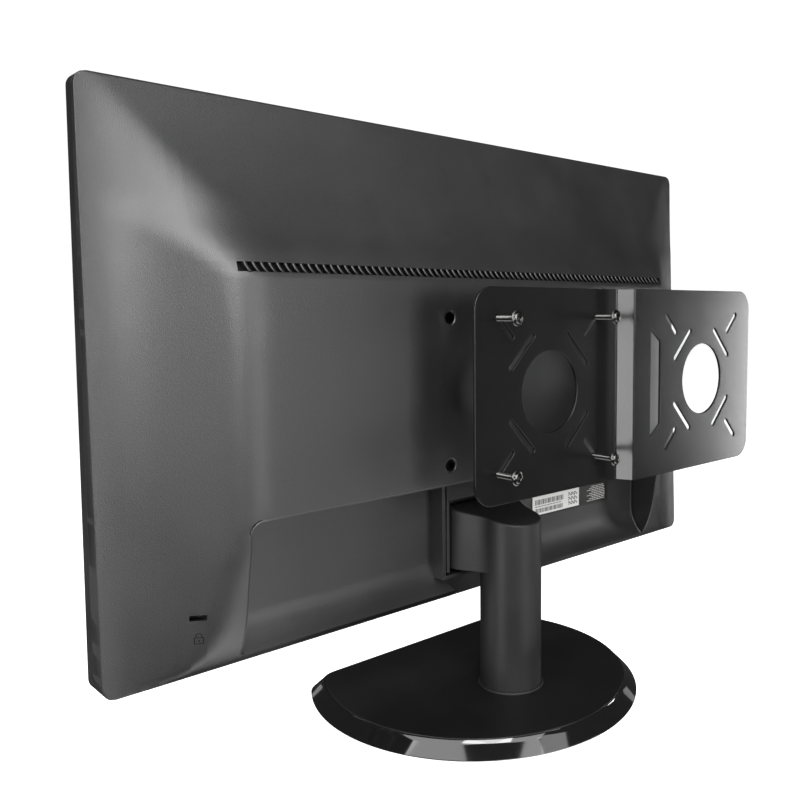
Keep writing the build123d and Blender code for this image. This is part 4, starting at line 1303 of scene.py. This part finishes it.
def surroundings():
    """White behind the object for the camera, and a dim grey room for light and reflections."""
    world = bpy.data.worlds.new("studio")
    world.use_nodes = True
    tree = world.node_tree
    room = tree.nodes["Background"]
    set_inputs(room, {"Color": (1, 1, 1, 1), "Strength": ROOM})
    backdrop = tree.nodes.new("ShaderNodeBackground")
    set_inputs(backdrop, {"Color": (1, 1, 1, 1), "Strength": BACKDROP})
    seen = tree.nodes.new("ShaderNodeLightPath")
    pick = tree.nodes.new("ShaderNodeMixShader")
    tree.links.new(seen.outputs["Is Camera Ray"], pick.inputs[0])
    tree.links.new(room.outputs[0], pick.inputs[1])
    tree.links.new(backdrop.outputs[0], pick.inputs[2])
    tree.links.new(pick.outputs[0], tree.nodes["World Output"].inputs["Surface"])
    bpy.context.scene.world = world
    bpy.context.scene.view_settings.view_transform = "Standard"


def floor():
    """Pale floor, kept out of the object's own reflections."""
    size = FLOOR_SIZE
    points = [(-size, -size, 0), (size, -size, 0), (size, size, 0), (-size, size, 0)]
    mesh = bpy.data.meshes.new("floor")
    mesh.from_pydata([tuple(c * MM for c in p) for p in points], [], [(0, 1, 2, 3)])
    plane = add_object("floor", mesh)
    material, tree, shader = new_material("floor_white")
    tone = blend_colours(tree, ranged(tree, noise(tree, 300.0), 0, 1), (0.93,) * 3, (0.95,) * 3)
    tree.links.new(tone, shader.inputs["Base Color"])
    tree.links.new(tone, shader.inputs["Emission Color"])
    set_inputs(shader, {"Emission Strength": FLOOR_GLOW, "Roughness": FLOOR_ROUGH})
    mesh.materials.append(material)
    plane.visible_diffuse = False
    plane.visible_glossy = False
    plane.visible_shadow = False


def studio():
    """Soft lights set where the object's faces mirror them towards the camera."""
    surroundings()
    for box in SOFTBOXES:
        softbox(*box)
    floor()


def camera():
    """The view from behind the screen's left side."""
    yaw, pitch, roll = (math.radians(a) for a in (CAMERA_YAW, CAMERA_PITCH, CAMERA_ROLL))
    ahead = Vector((math.sin(yaw) * math.cos(pitch), math.cos(yaw) * math.cos(pitch), math.sin(pitch)))
    flat = Vector((math.cos(yaw), -math.sin(yaw), 0))
    upright = flat.cross(ahead)
    right = math.cos(roll) * flat + math.sin(roll) * upright
    up = math.cos(roll) * upright - math.sin(roll) * flat
    data = bpy.data.cameras.new("camera")
    data.sensor_width = 36.0
    data.lens = LENS
    data.shift_x, data.shift_y = SHIFT
    data.clip_start = 0.01
    data.clip_end = 50.0
    eye = add_object("camera", data)
    turn = Matrix((right, up, -ahead)).transposed().to_4x4()
    eye.matrix_world = Matrix.Translation(Vector(CAMERA_AT) * MM) @ turn
    bpy.context.scene.camera = eye


# ---- assembly

def main():
    paint_frame()
    made = [
        (rear_cover(), "cover_plastic"), (louvres(), "louvre_plastic"), (lock_mark(), "dark_mark"),
        (bracket(), "bracket_paint"), (screws(), "nickel"), (neck_ring(), "neck_plastic"),
        (neck(), "neck_plastic"),
    ]
    trim, deck = foot()
    pale, ink = label_print()
    made += [(trim, "foot_gloss"), (deck, "foot_satin"), (pale, "label_white"), (ink, "label_black")]
    for piece, slot in made:
        paint(piece, slot)
    edge_round(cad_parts["front_bezel"], 0.3)
    edge_round(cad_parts["pocket_frame"], 0.3)
    camera()
    studio()


main()
bpy.context.view_layer.update()
